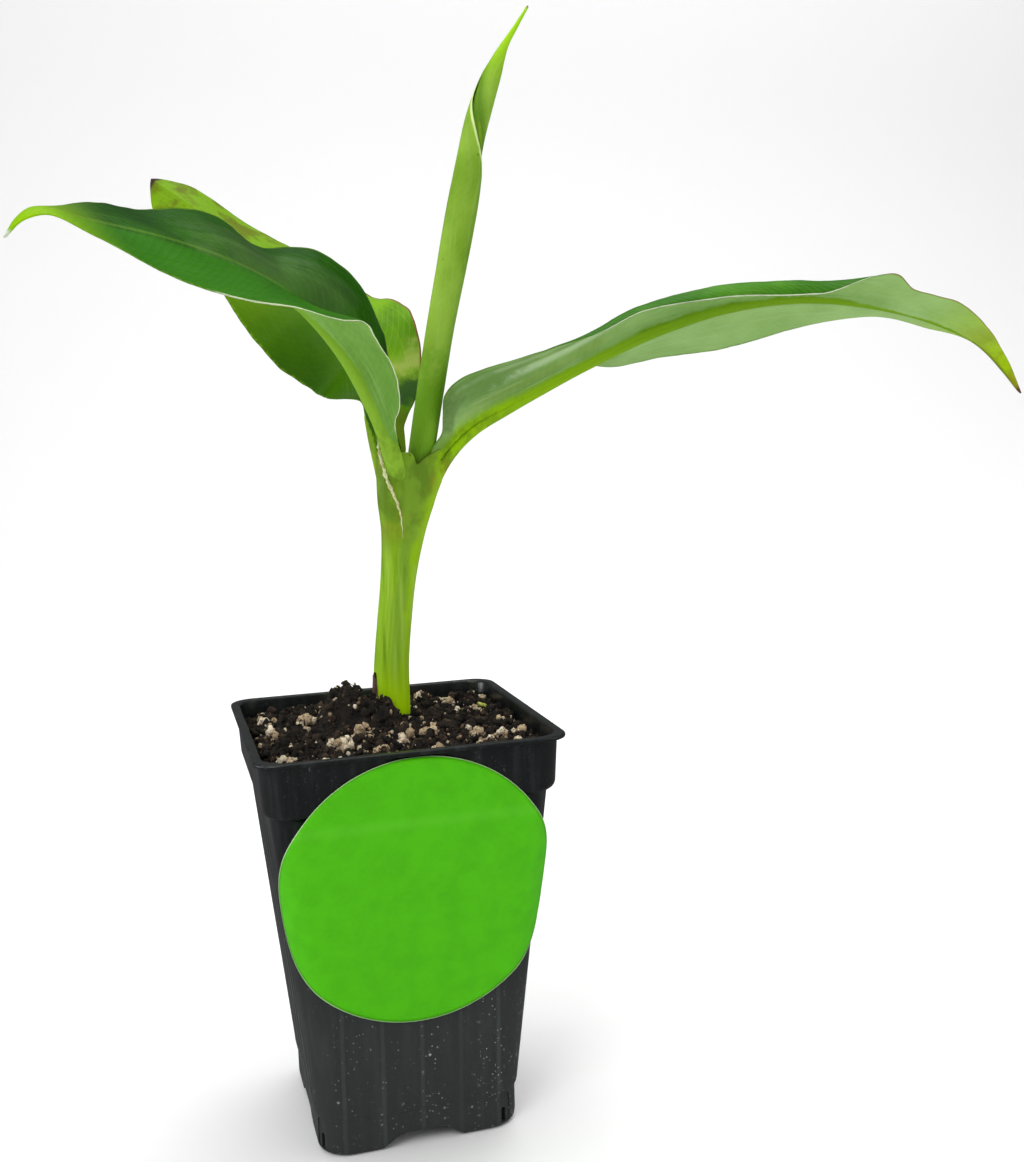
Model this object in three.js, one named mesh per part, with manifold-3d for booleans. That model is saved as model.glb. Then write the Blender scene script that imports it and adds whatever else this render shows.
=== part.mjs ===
// A young banana plant in a square plastic nursery pot.
// Millimetres, +Z up. The origin is on the ground under the middle of the pot;
// the face of the pot that carries the sticker looks towards -Y.
import * as THREE from 'three';
import { mergeVertices } from 'three/addons/utils/BufferGeometryUtils.js';
import Module from 'manifold-3d';

const wasm = await Module();
wasm.setup();

// ---------------------------------------------------------------- driving dimensions

const GAP = 0.3;                 // clear space between neighbouring solids

const POT_HEIGHT = 121;
const POT_WALL = 1.2;
const LIP = { half: 44.5, height: 2.6, corner: 7 };
const COLLAR = { top: 42.7, bottom: 41.9, height: 13.6, corner: 8.5 };
const STEP = 3.2;                // height of the rounded step under the collar
const BODY = { top: 39.7, bottom: 29.9, corner: 9 };
const FOOT = { half: 29.2, height: 12, corner: 9 };
const FLOOR = { underside: 4.5, thickness: 2 };
const ARCH = { foot: 9.5, crown: 6.5 };          // half-widths of the arches between the feet
const PAD_RADIUS = 7;            // round pad under the middle of the floor
const DRAIN = { width: 4, foot: 1.5, crown: 10, depth: 0.8 };

const SOIL = { edge: 117.2, dome: 3.6, crest: 8, crumb: 0.9, cells: 24 };
const CLUMP = { x: -9, y: 3, radius: 11, height: 8.5 };

const STICKER = { radius: 39, x: 0.2, z: 79, thickness: 0.6, bed: 0.6, plain: 27 };

// The stem's centre line and, at each of its points, half its width and half its depth.
const STEM = {
  line: [[2.6, 10.2, 116], [3.4, 10, 124], [3.9, 9.6, 136.4], [5.2, 9, 149.6],
    [6.9, 8.1, 163.6], [8.8, 7, 176.9], [10.2, 6.4, 187]],
  width: [[0, 6.4], [0.12, 5.7], [0.3, 5.3], [0.5, 5.25], [0.7, 5.5], [0.86, 6.75], [1, 8.9]],
  depth: [[0, 6.2], [0.12, 5.6], [0.3, 5.2], [0.7, 5.2], [1, 6.2]],
};
const HUSK = { low: 127.5, high: 137, spread: 62, thickness: 1.1, facing: 195 };

const LEAF_THICKNESS = 0.0105;   // of the leaf's length

// Leaves. "line" runs along the midrib from inside the stem's top to the tip; "azimuth" is the way
// the leaf leans out; "left" and "right" are its halves, seen from the fork. Each half
// leaves the midrib at the angle "lift" above the side and bends on by "curl" up to its
// margin, both given at fractions of the line's length, in degrees.
const LEAF_FRONT_LEFT = {
  azimuth: 213, petiole: 0.21, rise: 0.16, taper: 3, point: 1.6, rib: [3.3, 1.0],
  line: [[7.6, 4.4, 184], [6, 2.6, 194], [2.3, 0, 205], [-3.2, -3, 215.8],
    [-13.6, -11, 231.5], [-25.5, -20, 244], [-39, -30, 251.5], [-57.3, -43, 256.6],
    [-76.4, -54, 259.4], [-85.6, -60, 261], [-90.1, -63, 258.3], [-93.3, -65, 253.5]],
  left: {
    width: 25.8,
    lift: [[0, 16], [0.2, 1], [0.3, 9], [0.4, -2], [0.47, -20], [0.58, -31], [0.72, -42],
      [0.86, -35], [1, -14]],
    curl: [[0, -20], [0.21, -40], [0.35, -35], [0.47, 0], [1, 0]],
  },
  right: {
    width: 20.5,
    lift: [[0, 105], [0.26, 114], [0.35, 114], [0.43, 93], [0.49, 58], [0.58, 54], [0.72, 32],
      [0.86, 30], [1, -28]],
    curl: [[0, 0], [0.21, -70], [0.35, -60], [0.435, -45], [0.58, -20], [0.68, 0], [1, 0]],
  },
};
const LEAF_BACK_LEFT = {
  azimuth: 112, petiole: 0.22, rise: 0.36, taper: 3, point: 0.73, rib: [2.6, 0.9],
  line: [[4.8, 8.8, 184], [1.6, 13.4, 203], [1.9, 20, 217.3], [-0.6, 34, 232.8],
    [-11.3, 48, 247.3], [-26, 62, 266], [-42.9, 74, 282.4], [-57.1, 82, 293.5]],
  left: {
    width: 20.7,
    lift: [[0, 70], [0.22, 30], [0.3, -50], [0.37, -72], [0.51, -24], [0.71, -3], [0.85, -21],
      [1, -60]],
    curl: [[0, 0], [1, 0]],
  },
  right: {
    width: 27.5,
    lift: [[0, 14], [0.22, 8], [0.3, 21], [0.37, 39], [0.51, 4], [0.71, -12], [0.85, -17],
      [1, -1]],
    curl: [[0, 0], [1, 0]],
  },
};
const LEAF_RIGHT = {
  azimuth: -5, petiole: 0.115, rise: 0.15, taper: 3.2, point: 1.4, rib: [4, 1.1],
  line: [[13.6, 6, 184], [17.2, 5.4, 194], [22.3, 4, 202], [29.5, 2, 208.8], [40.5, 0, 215],
    [52.2, -2, 221], [63.5, -4, 226.5], [87.4, -7, 236.5], [111.6, -10, 243.1],
    [136.2, -13, 245.1], [161.4, -16, 242], [180.1, -18, 236.8], [193, -20, 230.5],
    [201.8, -21, 222.4], [208.1, -22, 213.6]],
  left: {
    width: 20.3,
    lift: [[0, 76], [0.19, 37], [0.3, 3], [0.36, -19], [0.43, -26], [0.53, -35], [0.64, -27],
      [0.76, -7], [0.86, 0], [1, 27]],
    curl: [[0, 0], [1, 0]],
  },
  right: {
    width: 17,
    lift: [[0, 96], [0.13, 81], [0.19, 68], [0.25, 63], [0.33, 69], [0.39, 85], [0.49, 81],
      [0.62, 65], [0.7, 52], [0.81, 21], [1, 23]],
    curl: [[0, 0], [0.13, -45], [0.19, -55], [0.25, -62], [0.33, -95], [0.39, -120],
      [0.49, -140], [0.63, -130], [0.7, -60], [0.76, 0], [1, 0]],
  },
};

// The youngest leaf is still rolled up; its radius is given along its length.
const SPEAR = {
  line: [[10.6, 7.8, 184], [12.9, 7, 200.2], [17.8, 6, 219.6], [22.5, 6, 237.4], [27.6, 6, 258.1],
    [33, 6, 278.7], [38, 6, 296.2], [42.2, 6, 310.7], [46.2, 6, 320.9], [51.9, 6, 332.7]],
  radius: [[0, 2.6], [0.17, 3.4], [0.34, 4.3], [0.53, 4.6], [0.7, 4.6], [0.81, 3.5], [0.9, 2], [1, 0.5]],
  seam: [[0, 330], [0.62, 360], [0.72, 340], [0.81, 200], [1, 150]],
  overlap: 0.22,                 // how far the outer turn stands over the seam, of the radius
};

// ---------------------------------------------------------------- small helpers

const radians = THREE.MathUtils.degToRad;
const vector = (point) => new THREE.Vector3(...point);

// A smooth value between stations [at, value].
function keyed(stations, at) {
  const last = stations.length - 1;
  const t = THREE.MathUtils.clamp(at, stations[0][0], stations[last][0]);
  let i = 0;
  while (i < last - 1 && t >= stations[i + 1][0]) i += 1;
  const slope = (k) => {
    const [a, b] = [stations[Math.max(k - 1, 0)], stations[Math.min(k + 1, last)]];
    return (b[1] - a[1]) / (b[0] - a[0]);
  };
  const span = stations[i + 1][0] - stations[i][0];
  const u = (t - stations[i][0]) / span;
  const from = stations[i][1];
  const to = stations[i + 1][1];
  const bend = u * (1 - u) * span;
  const blend = u * u * (3 - 2 * u);
  return from + (to - from) * blend + bend * ((1 - u) * slope(i) - u * slope(i + 1));
}

// A closed three.js geometry as a solid, and a solid's largest body as a geometry.
function solid(geometry) {
  const bare = geometry.clone();
  bare.deleteAttribute('normal');
  bare.deleteAttribute('uv');
  const merged = mergeVertices(bare, 1e-4);
  return new wasm.Manifold(new wasm.Mesh({
    numProp: 3,
    vertProperties: merged.attributes.position.array,
    triVerts: new Uint32Array(merged.index.array),
  }));
}

function geometryOf(body) {
  const largest = body.decompose().reduce((a, b) => (b.volume() > a.volume() ? b : a));
  const mesh = largest.getMesh();
  const geometry = new THREE.BufferGeometry();
  geometry.setAttribute('position', new THREE.BufferAttribute(mesh.vertProperties, 3));
  geometry.setIndex(new THREE.BufferAttribute(mesh.triVerts, 1));
  geometry.computeVertexNormals();
  return geometry;
}

// Moves every vertex of a geometry to place(x, y, z).
function reshape(geometry, place) {
  const position = geometry.attributes.position;
  for (let i = 0; i < position.count; i += 1) {
    const p = place(position.getX(i), position.getY(i), position.getZ(i));
    position.setXYZ(i, p.x, p.y, p.z);
  }
  return geometry;
}

// A solid limb: rings of "sides" points placed by ring(t, angle), t from 0 to 1, closed
// by a flat fan at centre(0) and centre(1).
function limb(sides, steps, ring, centre) {
  const tube = new THREE.CylinderGeometry(1, 1, 1, sides, steps);
  return solid(reshape(tube, (x, y, z) => {
    const t = y + 0.5;
    if (Math.hypot(x, z) < 0.5) return centre(t);
    return ring(t, Math.atan2(x, z));
  }));
}

// A line through points in space, with the frame that a leaf or stem hangs on.
function spine(points, azimuth) {
  const curve = new THREE.CatmullRomCurve3(points.map(vector), false, 'centripetal');
  curve.arcLengthDivisions = 400;
  const across = new THREE.Vector3(-Math.sin(radians(azimuth)), Math.cos(radians(azimuth)), 0);
  return {
    length: curve.getLength(),
    at(t) {
      const point = curve.getPointAt(THREE.MathUtils.clamp(t, 0, 1));
      const along = curve.getTangentAt(THREE.MathUtils.clamp(t, 0, 1));
      const side = across.clone().addScaledVector(along, -across.dot(along)).normalize();
      const up = new THREE.Vector3().crossVectors(along, side);
      return { point, side, up };
    },
  };
}

// ---------------------------------------------------------------- pot

const RING_STEPS = { side: 2, corner: 6 };       // outline points of a side and of a corner
const RING = 4 * (RING_STEPS.side + RING_STEPS.corner);

// Point number k round a square with rounded corners.
function squarePoint(k, half, corner, z) {
  const perSide = RING_STEPS.side + RING_STEPS.corner;
  const side = Math.floor(k / perSide) % 4;
  const i = k % perSide;
  const flat = half - corner;
  let x = half;
  let y = 0;
  if (i < RING_STEPS.side) {
    y = ((i / RING_STEPS.side) * 2 - 1) * flat;
  } else {
    const a = ((i - RING_STEPS.side) / RING_STEPS.corner) * (Math.PI / 2);
    x = flat + corner * Math.cos(a);
    y = flat + corner * Math.sin(a);
  }
  const turn = side * (Math.PI / 2);
  return new THREE.Vector3(
    x * Math.cos(turn) - y * Math.sin(turn),
    x * Math.sin(turn) + y * Math.cos(turn),
    z,
  );
}

// A square loft through levels { half, corner, z }, from the bottom up.
function squareLoft(levels) {
  const last = levels.length - 1;
  return limb(
    RING,
    last,
    (t, angle) => {
      const { half, corner, z } = levels[Math.round(t * last)];
      const k = Math.round(((angle / (2 * Math.PI)) * RING + RING)) % RING;
      return squarePoint(k, half, corner, z);
    },
    (t) => new THREE.Vector3(0, 0, levels[Math.round(t * last)].z),
  );
}

// Half-width of the pot's outer wall at a height.
const COLLAR_FOOT = POT_HEIGHT - LIP.height - COLLAR.height;
const BODY_TOP = COLLAR_FOOT - STEP;
function wallHalf(z) {
  const body = (h) => THREE.MathUtils.mapLinear(h, FOOT.height, BODY_TOP, BODY.bottom, BODY.top);
  if (z >= COLLAR_FOOT) {
    return THREE.MathUtils.mapLinear(z, COLLAR_FOOT, POT_HEIGHT, COLLAR.bottom, COLLAR.top);
  }
  if (z >= BODY_TOP) {
    const s = (z - BODY_TOP) / STEP;
    return BODY.top + (COLLAR.bottom - BODY.top) * Math.sqrt(1 - (1 - s) ** 2);
  }
  return body(z);
}

// The pot's outer shape, grown by "clear" all round.
function potOutside(clear = 0) {
  const level = (half, z, corner) => ({ half: half + clear, corner: corner + clear, z });
  const levels = [
    level(FOOT.half - 1.6, 0, FOOT.corner - 0.4),
    level(FOOT.half - 0.4, 0.7, FOOT.corner),
    level(FOOT.half, 2.4, FOOT.corner),
    level(FOOT.half + 0.3, FOOT.height - 1.2, FOOT.corner),
    level(BODY.bottom, FOOT.height, BODY.corner),
  ];
  levels.push(level(BODY.top, BODY_TOP, BODY.corner));
  for (const part of [0.15, 0.5, 1]) {
    const z = BODY_TOP + STEP * part;
    levels.push(level(wallHalf(z), z, COLLAR.corner));
  }
  const lipFoot = POT_HEIGHT - LIP.height;
  levels.push(level(COLLAR.top, lipFoot, COLLAR.corner));
  levels.push(level(LIP.half - 0.5, lipFoot, LIP.corner));
  levels.push(level(LIP.half, lipFoot + 0.6, LIP.corner));
  levels.push(level(LIP.half, POT_HEIGHT - 0.8, LIP.corner));
  levels.push(level(LIP.half - 0.7, POT_HEIGHT, LIP.corner));
  return squareLoft(levels);
}

// The space inside the pot, "clear" smaller all round; also the soil's outline.
function potInside(clear, top) {
  const inner = POT_WALL + clear;
  const bottom = FLOOR.underside + FLOOR.thickness + clear;
  const level = (z, corner) => ({ half: wallHalf(z) - inner, corner: corner - inner, z });
  return squareLoft([
    level(bottom, BODY.corner),
    level(BODY_TOP, BODY.corner),
    level(COLLAR_FOOT, COLLAR.corner),
    level(top, COLLAR.corner),
  ]);
}

// A channel right through under the floor, which leaves the arches between the feet.
function channel() {
  const arch = new THREE.Shape();
  arch.moveTo(-ARCH.foot, -1);
  arch.lineTo(ARCH.foot, -1);
  arch.lineTo(ARCH.foot, 0);
  arch.bezierCurveTo(ARCH.crown + 0.5, 1, ARCH.crown + 1, FLOOR.underside,
    ARCH.crown - 2, FLOOR.underside);
  arch.lineTo(2 - ARCH.crown, FLOOR.underside);
  arch.bezierCurveTo(-ARCH.crown - 1, FLOOR.underside, -ARCH.crown - 0.5, 1, -ARCH.foot, 0);
  const depth = 2 * LIP.half;
  const prism = new THREE.ExtrudeGeometry(arch, { depth, bevelEnabled: false, curveSegments: 4 });
  prism.translate(0, 0, -depth / 2).rotateX(Math.PI / 2);
  return solid(prism);
}

// An arched drain recess across one corner of the foot.
function drain(corner) {
  const arch = new THREE.Shape();
  const r = DRAIN.width / 2;
  arch.moveTo(-r, DRAIN.foot);
  arch.lineTo(r, DRAIN.foot);
  arch.lineTo(r, DRAIN.crown - r);
  arch.absarc(0, DRAIN.crown - r, r, 0, Math.PI);
  const cut = new THREE.ExtrudeGeometry(arch, { depth: 6, bevelEnabled: false, curveSegments: 5 });
  const reach = Math.SQRT2 * (FOOT.half - FOOT.corner) + FOOT.corner - DRAIN.depth;
  cut.rotateX(Math.PI / 2).rotateZ(Math.PI).translate(0, reach, 0);
  cut.rotateZ(Math.PI / 4 + (corner * Math.PI) / 2);
  return solid(cut);
}

function potSolid() {
  const along = channel();
  const cross = along.rotate([0, 0, 90]);
  const pad = new THREE.CylinderGeometry(PAD_RADIUS, PAD_RADIUS, FLOOR.underside + 1, 32);
  pad.rotateX(Math.PI / 2).translate(0, 0, (FLOOR.underside + 1) / 2);
  let pot = potOutside().subtract(potInside(0, POT_HEIGHT + 1));
  pot = pot.subtract(along).subtract(cross).add(solid(pad));
  for (let corner = 0; corner < 4; corner += 1) pot = pot.subtract(drain(corner));
  return pot;
}

// ---------------------------------------------------------------- soil

// Height of the soil: a low dome with crumbs, and a clump beside the stem.
function soilTop(x, y) {
  const r = Math.hypot(x, y - SOIL.crest) / COLLAR.top;
  const dome = SOIL.dome * Math.max(0, 1 - r * r);
  const coarse = Math.sin(0.5 * x + 0.16 * y + 1.3) * Math.sin(0.47 * y - 0.2 * x);
  const fine = Math.sin(0.83 * x - 0.3 * y) * Math.sin(0.9 * y + 0.25 * x + 2);
  const d = Math.hypot(x - CLUMP.x, y - CLUMP.y) / CLUMP.radius;
  const clump = CLUMP.height * Math.max(0, 1 - d * d) * (1 + 0.25 * Math.sin(0.7 * x + 0.9 * y));
  return SOIL.edge + dome + SOIL.crumb * (coarse + 0.6 * fine) + clump;
}

function soilSolid(seat) {
  const size = 2 * COLLAR.top;
  const block = new THREE.BoxGeometry(size, size, POT_HEIGHT, SOIL.cells, SOIL.cells, 1);
  const heap = solid(reshape(block, (x, y, z) => new THREE.Vector3(x, y, z > 0 ? soilTop(x, y) : 0)));
  return heap.intersect(potInside(1.5 * GAP, POT_HEIGHT + 20)).subtract(seat);
}

// ---------------------------------------------------------------- stem

const stemSpine = spine(STEM.line, 0);

// The stem grown by "clear" all round; its foot and top are flat and level.
function stemSolid(clear = 0) {
  const sides = 20;
  const steps = 16;
  const { point: foot } = stemSpine.at(0);
  const { point: top } = stemSpine.at(1);
  return limb(
    sides,
    steps,
    (t, angle) => {
      const { point } = stemSpine.at(t);
      const width = keyed(STEM.width, t) + clear;
      const depth = keyed(STEM.depth, t) + clear;
      const groove = 1 - 0.05 * Math.cos(3 * angle + 1);
      return new THREE.Vector3(
        point.x + width * groove * Math.sin(angle),
        point.y - depth * groove * Math.cos(angle),
        point.z + (t === 0 ? -clear : 0),
      );
    },
    (t) => (t < 0.5 ? foot.clone().setZ(foot.z - clear) : top),
  );
}

// The dried remains of the first leaf's sheath, a thin curved scale against the stem.
function huskSolid() {
  const scale = new THREE.BoxGeometry(1, 1, 1, 8, 5, 1);
  return solid(reshape(scale, (a, b, c) => {
    const v = b + 0.5;
    const z = HUSK.low + (HUSK.high - HUSK.low) * v;
    const t = (z - STEM.line[0][2]) / (STEM.line.at(-1)[2] - STEM.line[0][2]);
    const { point } = stemSpine.at(t);
    const taper = 1 - 0.75 * v;
    const angle = radians(HUSK.facing + a * HUSK.spread * 2 * taper);
    const flare = 0.9 * v * v;
    const r = keyed(STEM.width, t) * 1.05 + 1.2 * GAP + flare + HUSK.thickness * (c + 0.5);
    return new THREE.Vector3(point.x + r * Math.cos(angle), point.y + r * Math.sin(angle), z);
  }));
}

// ---------------------------------------------------------------- leaves

function leafModel(leaf) {
  const line = spine(leaf.line, leaf.azimuth);
  const bladeOf = (u) => u ** leaf.rise * (1 - u ** leaf.taper) ** leaf.point;
  let widest = 0;
  for (let u = 0.05; u < 1; u += 0.01) widest = Math.max(widest, bladeOf(u));
  const rib = (t) => leaf.rib[1] + (leaf.rib[0] - leaf.rib[1]) * (1 - t) ** 1.5;
  const halfWidth = (side, t) => {
    const u = THREE.MathUtils.clamp((t - leaf.petiole) / (1 - leaf.petiole), 0, 1);
    return rib(t) * 1.15 + (side.width * bladeOf(u)) / widest;
  };
  // The point at fraction v of a half's width, and the blade's normal there.
  const bladePoint = (sign, t, v, offset) => {
    const side = sign > 0 ? leaf.left : leaf.right;
    const { point, side: across, up } = line.at(t);
    const width = halfWidth(side, t);
    const lift = radians(keyed(side.lift, t));
    const curl = radians(keyed(side.curl, t));
    const pieces = 12;
    let out = 0;
    let rise = 0;
    for (let i = 0; i < pieces; i += 1) {
      const angle = lift + curl * ((i + 0.5) / pieces) * v;
      out += (Math.cos(angle) * width * v) / pieces;
      rise += (Math.sin(angle) * width * v) / pieces;
    }
    const end = lift + curl * v;
    out -= Math.sin(end) * offset;
    rise += Math.cos(end) * offset;
    return point.addScaledVector(across, sign * out).addScaledVector(up, rise);
  };
  return { line, rib, bladePoint };
}

// The midrib of a leaf from t = from to t = to, grown by "clear" all round.
function ribSolid(leaf, from, to, clear = 0) {
  const { line, rib } = leafModel(leaf);
  const at = (t) => from + (to - from) * t;
  const heart = (t) => line.at(t).point.addScaledVector(line.at(t).up, -0.35 * rib(t));
  return limb(
    8,
    Math.max(6, Math.round((line.length * (to - from)) / 6)),
    (t, angle) => {
      const { side, up } = line.at(at(t));
      const r = rib(at(t));
      return heart(at(t)).addScaledVector(side, -(r * 1.1 + clear) * Math.sin(angle))
        .addScaledVector(up, (r * 0.85 + clear) * Math.cos(angle));
    },
    (t) => heart(at(t)),
  );
}

// One leaf from t = from to t = to: the midrib and the two halves of the blade, fused.
function leafSolid(leaf, from = 0, to = 1) {
  const { line, bladePoint } = leafModel(leaf);
  const thickness = line.length * LEAF_THICKNESS;
  const cells = { along: Math.max(6, Math.round((line.length * (to - from)) / 6)), across: 5 };
  const half = (sign) => {
    const start = Math.max(from, leaf.petiole);
    const sheet = new THREE.BoxGeometry(1, 1, 1, cells.along, cells.across, 1);
    return solid(reshape(sheet, (a, b, c) => {
      const t = start + (to - start) * (a + 0.5);
      return bladePoint(sign, t, 0.5 - sign * b, -c * thickness);
    }));
  };
  return ribSolid(leaf, from, to).add(half(1)).add(half(-1));
}

// The foot of a leaf's stalk, grown so that a neighbour cut by it stands clear.
const stalk = (leaf) => ribSolid(leaf, 0, leaf.petiole + 0.1, 1.2 * GAP);

function spearSolid(clear = 0) {
  const line = spine(SPEAR.line, 90);
  return limb(
    18,
    30,
    (t, angle) => {
      const { point, side, up } = line.at(t);
      const radius = keyed(SPEAR.radius, t);
      const seam = radians(keyed(SPEAR.seam, t));
      const turn = THREE.MathUtils.euclideanModulo(angle - seam, 2 * Math.PI) / (2 * Math.PI);
      const r = radius * (1 - SPEAR.overlap * (1 - turn) * Math.min(1, 6 * (1 - t))) + clear;
      return point.addScaledVector(side, -r * Math.cos(angle)).addScaledVector(up, -r * Math.sin(angle));
    },
    (t) => line.at(t).point,
  );
}

// ---------------------------------------------------------------- sticker

// A point on the sticker: "along" the front wall and round its corners, "out" from them.
// The sheet eases across the step under the collar.
function laidPoint(along, z, out) {
  const reach = 7;
  let half = 0;
  for (let i = -reach; i <= reach; i += 1) half = Math.max(half, wallHalf(z + i) - 0.09 * Math.abs(i));
  const flat = half - COLLAR.corner;
  const angle = Math.max(0, Math.abs(along) - flat) / COLLAR.corner;
  const across = Math.min(Math.abs(along), flat) + (COLLAR.corner + out) * Math.sin(angle);
  const away = flat + (COLLAR.corner + out) * Math.cos(angle);
  return new THREE.Vector3(Math.sign(along) * across, -away, z);
}

// A thin round sheet, cut flat and then laid on the wall; its grid is finest at its two
// sides, where it goes round the corners.
function stickerSolid() {
  const { radius, x, z, thickness, bed, plain } = STICKER;
  const columns = { plain: 3, corner: 4 };
  const share = columns.plain / (columns.plain + columns.corner);
  const width = (a) => {
    const part = Math.abs(a);
    const reach = part < share
      ? (part / share) * plain
      : THREE.MathUtils.mapLinear(part, share, 1, plain, radius + 1);
    return Math.sign(a) * reach;
  };
  const cells = 2 * (columns.plain + columns.corner);
  const grid = new THREE.BoxGeometry(2, 2 * radius + 2, 1, cells, 18, 1);
  reshape(grid, (a, b, c) => new THREE.Vector3(width(a), b, c));
  const disc = new THREE.CylinderGeometry(radius, radius, 3, 48, 1).rotateX(Math.PI / 2);
  const flatSheet = geometryOf(solid(grid).intersect(solid(disc)));
  return solid(reshape(flatSheet, (a, b, c) => laidPoint(a + x, b + z, bed + thickness * (c + 0.5))));
}

// ---------------------------------------------------------------- assembly

const plant = new THREE.Group();

function place(name, body, colour, roughness, metalness = 0) {
  const material = new THREE.MeshStandardMaterial({ color: colour, roughness, metalness });
  const mesh = new THREE.Mesh(geometryOf(body), material);
  mesh.name = name;
  plant.add(mesh);
}

// What grows out of the stem starts just above its top, clear of what stands before it.
const STEM_TOP = STEM.line.at(-1)[2];
function rooted(body, ...neighbours) {
  const above = body.trimByPlane([0, 0, 1], STEM_TOP + GAP);
  return neighbours.reduce((rest, neighbour) => rest.subtract(neighbour), above);
}
const spearRoom = spearSolid(1.4 * GAP);

place('pot', potSolid(), 0x26292b, 0.45);
place('soil', soilSolid(stemSolid(1.4 * GAP)), 0x2c221b, 0.95);
place('sticker', stickerSolid(), 0x3fae17, 0.5);
place('pseudostem', stemSolid(), 0x86b52a, 0.5);
place('dried_sheath', huskSolid(), 0x6b4a2c, 0.9);
place('leaf_spear', rooted(spearSolid()), 0x78a63c, 0.45);
place('leaf_right_base', rooted(leafSolid(LEAF_RIGHT, 0, 0.52), spearRoom), 0x7c9f68, 0.45);
place('leaf_right_tip', leafSolid(LEAF_RIGHT, 0.522, 1), 0x84a85c, 0.45);
place(
  'leaf_front_left_base',
  rooted(leafSolid(LEAF_FRONT_LEFT, 0, 0.405), spearRoom, stalk(LEAF_RIGHT)),
  0x6f9a55,
  0.45,
);
place('leaf_front_left_tip', leafSolid(LEAF_FRONT_LEFT, 0.408, 1), 0x2c6a1c, 0.4);
place(
  'leaf_back_left',
  rooted(leafSolid(LEAF_BACK_LEFT), spearRoom, stalk(LEAF_RIGHT), stalk(LEAF_FRONT_LEFT)),
  0x5c8f24,
  0.45,
);

export default plant;
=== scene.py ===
"""Young banana plant in a square nursery pot: its fine shapes, finishes and stage.

Lengths in the shape code are millimetres in the frame's axes: +Z up, the origin on the
ground under the middle of the pot, and the side with the sticker towards -Y.
"""

import functools
import math
import random

import bmesh
import bpy
from bpy.props import (
    FloatProperty,
    FloatVectorProperty,
    IntProperty,
    PointerProperty,
)
from bpy.types import Operator, Panel, PropertyGroup
from mathutils import Euler, Matrix, Vector, noise


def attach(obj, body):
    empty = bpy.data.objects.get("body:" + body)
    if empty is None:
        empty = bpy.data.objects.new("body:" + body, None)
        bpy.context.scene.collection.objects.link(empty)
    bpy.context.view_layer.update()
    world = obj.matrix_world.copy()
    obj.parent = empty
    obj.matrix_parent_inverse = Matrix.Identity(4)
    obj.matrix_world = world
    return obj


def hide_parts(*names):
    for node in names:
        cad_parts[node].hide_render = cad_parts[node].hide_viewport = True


bl_info = {
    "name": "Young Banana Plant",
    "version": (1, 0, 0),
    "blender": (4, 5, 0),
    "location": "View3D > Sidebar > Plant",
    "description": "Builds a young banana plant in a square nursery pot",
    "category": "Add Mesh",
}

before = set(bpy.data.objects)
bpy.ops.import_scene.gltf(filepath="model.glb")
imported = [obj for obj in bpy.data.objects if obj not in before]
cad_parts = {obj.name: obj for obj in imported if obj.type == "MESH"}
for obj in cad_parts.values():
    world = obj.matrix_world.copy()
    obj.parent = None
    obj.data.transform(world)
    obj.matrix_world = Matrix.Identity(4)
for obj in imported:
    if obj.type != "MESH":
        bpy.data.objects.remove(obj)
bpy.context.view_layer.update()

MM = 0.001


# ---------------------------------------------------------------- named sizes

POT_HEIGHT = 121.7
POT_WALL = 1.2
LIP_HALF, LIP_HEIGHT, LIP_CORNER = 44.0, 1.3, 7.0
COLLAR_TOP, COLLAR_BOTTOM, COLLAR_HEIGHT, COLLAR_CORNER = 42.5, 41.8, 12.9, 8.5
STEP_HEIGHT = 2.6
BODY_TOP_HALF, BODY_FOOT_HALF, BODY_CORNER = 39.9, 30.7, 9.0
FOOT_HALF, FOOT_HEIGHT, FOOT_CORNER = 30.0, 12.0, 9.0
FLOOR_UNDERSIDE, FLOOR_THICKNESS = 4.5, 2.0
INSIDE_LEVELS = 9
ARCH_FOOT, ARCH_CROWN = 14.5, 5.0
PAD_RADIUS = 7.0
CREASE_ANGLE = math.radians(38)
DRAIN_WIDTH, DRAIN_FOOT, DRAIN_CROWN, DRAIN_DEPTH = 4.2, 1.5, 11.0, 0.45
DRAIN_SLIT, DRAIN_TURN = 1.6, 20.0
COLLAR_FOOT = POT_HEIGHT - LIP_HEIGHT - COLLAR_HEIGHT
BODY_TOP = COLLAR_FOOT - STEP_HEIGHT

SOIL_EDGE, SOIL_DOME, SOIL_CREST = 117.2, 3.6, 8.0
SOIL_FOOT, SOIL_FOOT_SHARE = 108.0, 0.93
# Grains keep this far from the stem's middle, and inside corners of this radius.
STEM_CLEARANCE, GRAIN_CORNER = 5.6, 7
# Heaps in the mix: (x, y, radius, height).
CLUMPS = [(-11.5, 6, 9.5, 10.5), (-3.5, 1.5, 8.5, 7), (14, -4, 10, 1.6), (-27, 12, 9, 2)]
# Clusters of pale grains: (x, y, radius, grains).
CLUSTERS = [
    (-9.5, -9, 3.2, 40), (-23, 8, 3, 32), (-17, -18, 3.4, 40), (-33, -24, 2.8, 26),
    (-22, -29, 3, 34), (-35, 24, 2.6, 20), (-34, 2, 2.4, 16), (18, 34, 2.6, 34),
    (38, 32, 2.6, 22), (31, -18, 3, 30), (24, -14, 2.6, 24), (37, -3, 2.6, 22),
    (36, -18, 2.4, 16), (25, -24, 2.6, 20), (32, -30, 2.6, 20), (1, -18, 2.2, 14),
    (10, -15, 2.4, 16), (9, -31, 2.2, 14), (-7, -25, 2.2, 14), (24, 22, 2.6, 20),
    (30, 8, 2.4, 16), (-12, 30, 2.2, 12),
]
SPROUT = (33.5, 14.0)

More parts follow.
